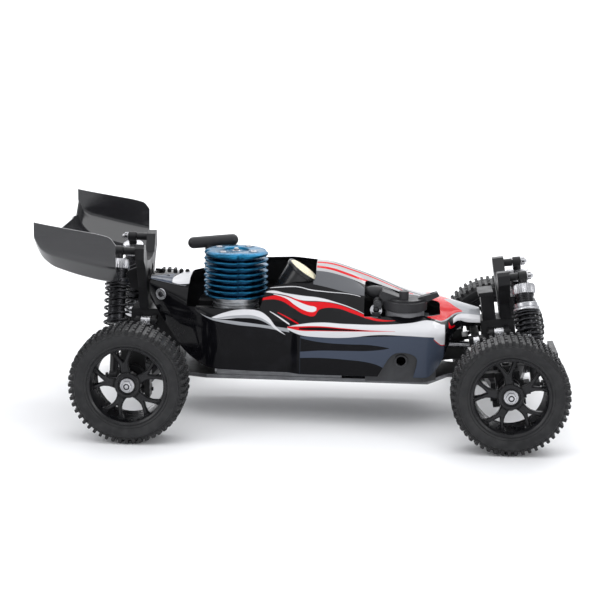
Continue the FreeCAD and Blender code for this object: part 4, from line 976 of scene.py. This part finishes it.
def wing():
    """Scoop with a floor that sweeps up behind, slanted sides, upright end plates and pressed ribs."""
    sections = WING_SECTIONS[::-1]
    knots = [section[0] for section in sections]
    soft = knot_softness(knots, 0.48, 8)
    rows = []
    for x in spread(knots[0], knots[-1], 1.6):
        values = [Vector(section[1:]) for section in sections]
        floor, edge, flat, crease, top = softened(knots, values, soft, x)
        half = [Vector((WING_HALF, top)), Vector((WING_HALF, crease)), Vector((flat, edge))]
        ring = [Vector((-p.x, p.y)) for p in half] + [Vector((0, floor))] + half[::-1]
        row = []
        for k in range(121):
            y, z = softened(range(7), ring, (0, 0.16, 0.12, 0.5, 0.12, 0.16, 0), k / 20)
            row.append((x, y, z + (wing_rib(x, y) if abs(y) < flat - 2 else 0)))
        rows.append(row[::-1])
    notch = rounded_outline([(-132, -60), (-132, 60), (-154, 48), (-154, -48)], 6)
    cutters = [cutter("wing_notch", (notch, 100, 120, 2))]
    made = skin_piece("wing_skin", rows, [LOOK["gloss"]], 1.5, cutters)
    buttons = Shape()
    for x, y in WING_SCREWS:
        stand = Matrix.Translation((x, y, BUTTON_FOOT))
        buttons.add(lathe([(0, 0), (4.6, 0), (4.8, 0.4), (4.6, 1.5), (2.9, 1.7), (0, 1.7)], 32), stand, 0)
        buttons.add(cap_screw(2.6, 1.8), stand @ Matrix.Translation((0, 0, 1.6)), 1)
    screws = piece("wing_buttons", buttons, [LOOK["nylon"], LOOK["silver"]], "chassis")
    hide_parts("wing")


# ---------------------------------------------------------------- small hardware
def lock_nut():
    """Washer, hexagon nut with a rounded collar, and the end of its screw, standing on z = 0."""
    across = 5.5
    shape = Shape()
    shape.add(lathe([(0, 0), (across * 0.62, 0), (across * 0.62, 0.6), (0, 0.6)], 28))
    shape.add(hexagon(across, 0.6, 3.0, 0.25))
    shape.add(lathe([(0, 2.9), (across * 0.4, 2.9), (across * 0.38, 3.5), (across * 0.3, 3.8), (1.5, 3.8),
                     (1.45, 4.6), (1.2, 4.8), (0, 4.8)], 24))
    return shape.verts, shape.faces


def button_screw(radius):
    """Domed screw head with a hexagon socket, standing on z = 0."""
    socket = radius * 0.5
    return lathe([(0, 0), (radius, 0), (radius * 0.96, radius * 0.3), (radius * 0.75, radius * 0.6),
                  (socket + 0.1, radius * 0.74), (socket, radius * 0.7), (socket, radius * 0.25),
                  (0, radius * 0.2)], 24)


def damper_nuts():
    """Nuts on the screws that carry the dampers' upper eyes."""
    for end, side, _ in CORNERS:
        stem = end + "_" + side
        top, _ = damper_line(stem)
        axis = Vector(JOINTS[stem + "_shock_swing"]["axis"])
        outward = axis if (axis.x > 0) == (end == "front") else -axis
        place = toward(top + outward.normalized() * 3.4, outward, (0, 0, 1))
        made = piece(stem + "_damper_nut", Shape().add(lock_nut(), place), [LOOK["steel"]], "chassis")


# Screws of the shell's left half: place, direction and head radius. The right half mirrors them.
SHELL_SCREWS = [
    ((55, 38.5, 87.6), (0.1, 1, 0.55), 2.4),
    ((-108, 12.5, 103.6), (0, 0.3, 1), 1.9),
    ((-111.5, 29.0, 93.5), (-0.5, 1, -0.06), 2.3),
]
UNDERSIDE_Z = 32.0
UNDERSIDE_SCREWS = [(x, y) for x in (-92, -64, -30, 34, 70) for y in (14, -14)]


def screws():
    """Washered screws that hold the shell, and flat ones under the chassis plate."""
    shape = Shape()
    for at, way, radius in SHELL_SCREWS:
        edge = radius * 1.9
        washer = lathe([(0, -0.4), (edge, -0.4), (radius * 2, 0), (edge, 0.5), (0, 0.5)], 32)
        for _, sign in SIDES[::-1]:
            place = toward((at[0], sign * at[1], at[2]), (way[0], sign * way[1], way[2]))
            shape.add(washer, place, 0)
            shape.add(button_screw(radius), place @ Matrix.Translation((0, 0, 0.4)), 1)
    for x, y in UNDERSIDE_SCREWS:
        head = lathe([(0, -0.6), (2.6, -0.6), (2.6, 0.1), (1.3, 0.15), (1.3, -0.3), (0, -0.35)], 24)
        shape.add(head, toward((x, y, UNDERSIDE_Z), (0, 0, -1)), 1)
    made = piece("body_screws", shape, [LOOK["silver"], LOOK["black_metal"]], "chassis")


def cabin_bump():
    """Rounded blister on the right of the cabin, just behind the tank's lid."""
    start, end = Vector((45, -20, 99.5)), Vector((73, -18, 94.0))
    length = (end - start).length
    profile = [(0, 0)]
    for k in range(1, 16):
        share = k / 16
        profile.append((6.4 * math.sin(math.pi * share) ** 0.5 * (1 - 0.25 * share), length * share))
    profile.append((0, length))
    shape = Shape().add(lathe(profile, 40), toward(start, end - start))
    made = piece("cabin_blister", shape, [LOOK["dark"]], "chassis", 60)


def deck_louvres():
    """Row of small knobs along the tail of the body."""
    shape = Shape()
    first, pitch = -114.0, 4.8
    knob = lathe([(0, 0), (1.7, 0), (1.7, 2.0), (1.3, 2.8), (0.7, 3.1), (0, 3.1)], 20)
    for k in range(5):
        shape.add(knob, Matrix.Translation((first + pitch * k, 3.5, 104.6)))
    made = piece("deck_knobs", shape, [LOOK["nylon"]], "chassis")


def tank_collar():
    """Pale ring of the tank's neck, seen under the lid."""
    ring = [(13.2, 79.0), (14.9, 79.0), (15.0, 79.6), (15.0, 86.6), (14.4, 87.4), (13.2, 87.4)]
    shape = Shape().add(lathe(ring, 64, "joined"), Matrix.Translation((*TANK_AT, 0)))
    made = piece("tank_collar", shape, [LOOK["neck"]], "chassis")


# ---------------------------------------------------------------- stage, light and camera
def stage():
    """Pale floor that turns up into a backdrop, far behind the buggy."""
    shape = Shape()
    half, depth, bend, height = 5000, 1700, 900, 4000
    rows = [(-depth, 0), (depth, 0)]
    for k in range(1, 7):
        turn = math.pi / 2 * k / 6
        rows.append((depth + bend * math.sin(turn), bend * (1 - math.cos(turn))))
    rows.append((depth + bend, height))
    verts = [(x, y, z) for y, z in rows for x in (-half, half)]
    faces = [[2 * k, 2 * k + 1, 2 * k + 3, 2 * k + 2] for k in range(len(rows) - 1)]
    shape.add((verts, faces))
    paper = Finish("backdrop_paper", (0.86, 0.86, 0.87), 0.85)
    paper.set("Base Color", paper.mix(paper.noise(400, 2), (0.84, 0.84, 0.85), (0.88, 0.88, 0.89)))
    piece("floor", shape, [paper.done()])


# Soft boxes: name, place, point that each faces, size, and power in watts
SOFT_BOXES = [
    ("overhead", (0.1, -0.1, 1.5), (0, 0, 0), (2.2, 1.3), 13),
    ("side_left", (-1.5, -1.1, 0.9), (0, 0, 0.05), (0.9, 1.2), 9),
    ("side_right", (1.4, -1.3, 0.7), (0.05, 0, 0.06), (0.6, 1.0), 7),
    ("behind", (0.2, 1.2, 1.2), (0, 0, 0.1), (2.0, 0.8), 7),
    ("backdrop", (0, 1.3, 1.7), (0, 2.3, 0.2), (3.0, 0.5), 32),
]


def area_light(name, place, aim, size, power):
    lamp = bpy.data.lights.new(name, "AREA")
    lamp.shape = "RECTANGLE"
    lamp.size, lamp.size_y = size
    lamp.energy = power
    made = bpy.data.objects.new(name, lamp)
    bpy.context.scene.collection.objects.link(made)
    made.location = place
    made.rotation_euler = (Vector(aim) - Vector(place)).to_track_quat("-Z", "Y").to_euler()


def lights():
    """Even white surroundings and the soft boxes."""
    world = bpy.data.worlds.new("studio")
    bpy.context.scene.world = world
    world.use_nodes = True
    background = world.node_tree.nodes["Background"]
    background.inputs["Color"].default_value = (0.95, 0.97, 1.0, 1)
    background.inputs["Strength"].default_value = 0.78
    for soft_box in SOFT_BOXES:
        area_light(*soft_box)


# Where the camera stands, in metres, how it is turned, and its lens in millimetres
CAMERA_AT = Vector((0.05833, -1.29069, 0.35456))
CAMERA_YAW, CAMERA_PITCH, CAMERA_ROLL = (math.radians(d) for d in (2.818, 11.747, 1.057))
CAMERA_LENS = 100.45


def camera():
    """Camera a little above the buggy's right side, looking slightly down."""
    lens = bpy.data.cameras.new("camera")
    lens.lens, lens.sensor_width = CAMERA_LENS, 36
    lens.clip_start, lens.clip_end = 0.05, 60
    made = bpy.data.objects.new("camera", lens)
    bpy.context.scene.collection.objects.link(made)
    forward = Vector((-math.sin(CAMERA_YAW) * math.cos(CAMERA_PITCH),
                      math.cos(CAMERA_YAW) * math.cos(CAMERA_PITCH), -math.sin(CAMERA_PITCH)))
    level = forward.cross(Vector((0, 0, 1))).normalized()
    upright = level.cross(forward)
    right = level * math.cos(CAMERA_ROLL) + upright * math.sin(CAMERA_ROLL)
    up = upright * math.cos(CAMERA_ROLL) - level * math.sin(CAMERA_ROLL)
    turn = Matrix((right, up, -forward)).transposed()
    made.matrix_world = Matrix.Translation(CAMERA_AT) @ turn.to_4x4()
    bpy.context.scene.camera = made


camera()
lights()
stage()
finish_nodes()
wheels()
dampers()
cooling_head()
air_filter()
body_shell()
wing()
damper_nuts()
screws()
cabin_bump()
deck_louvres()
tank_collar()

bpy.context.scene.view_settings.view_transform = "Standard"
bpy.context.view_layer.update()
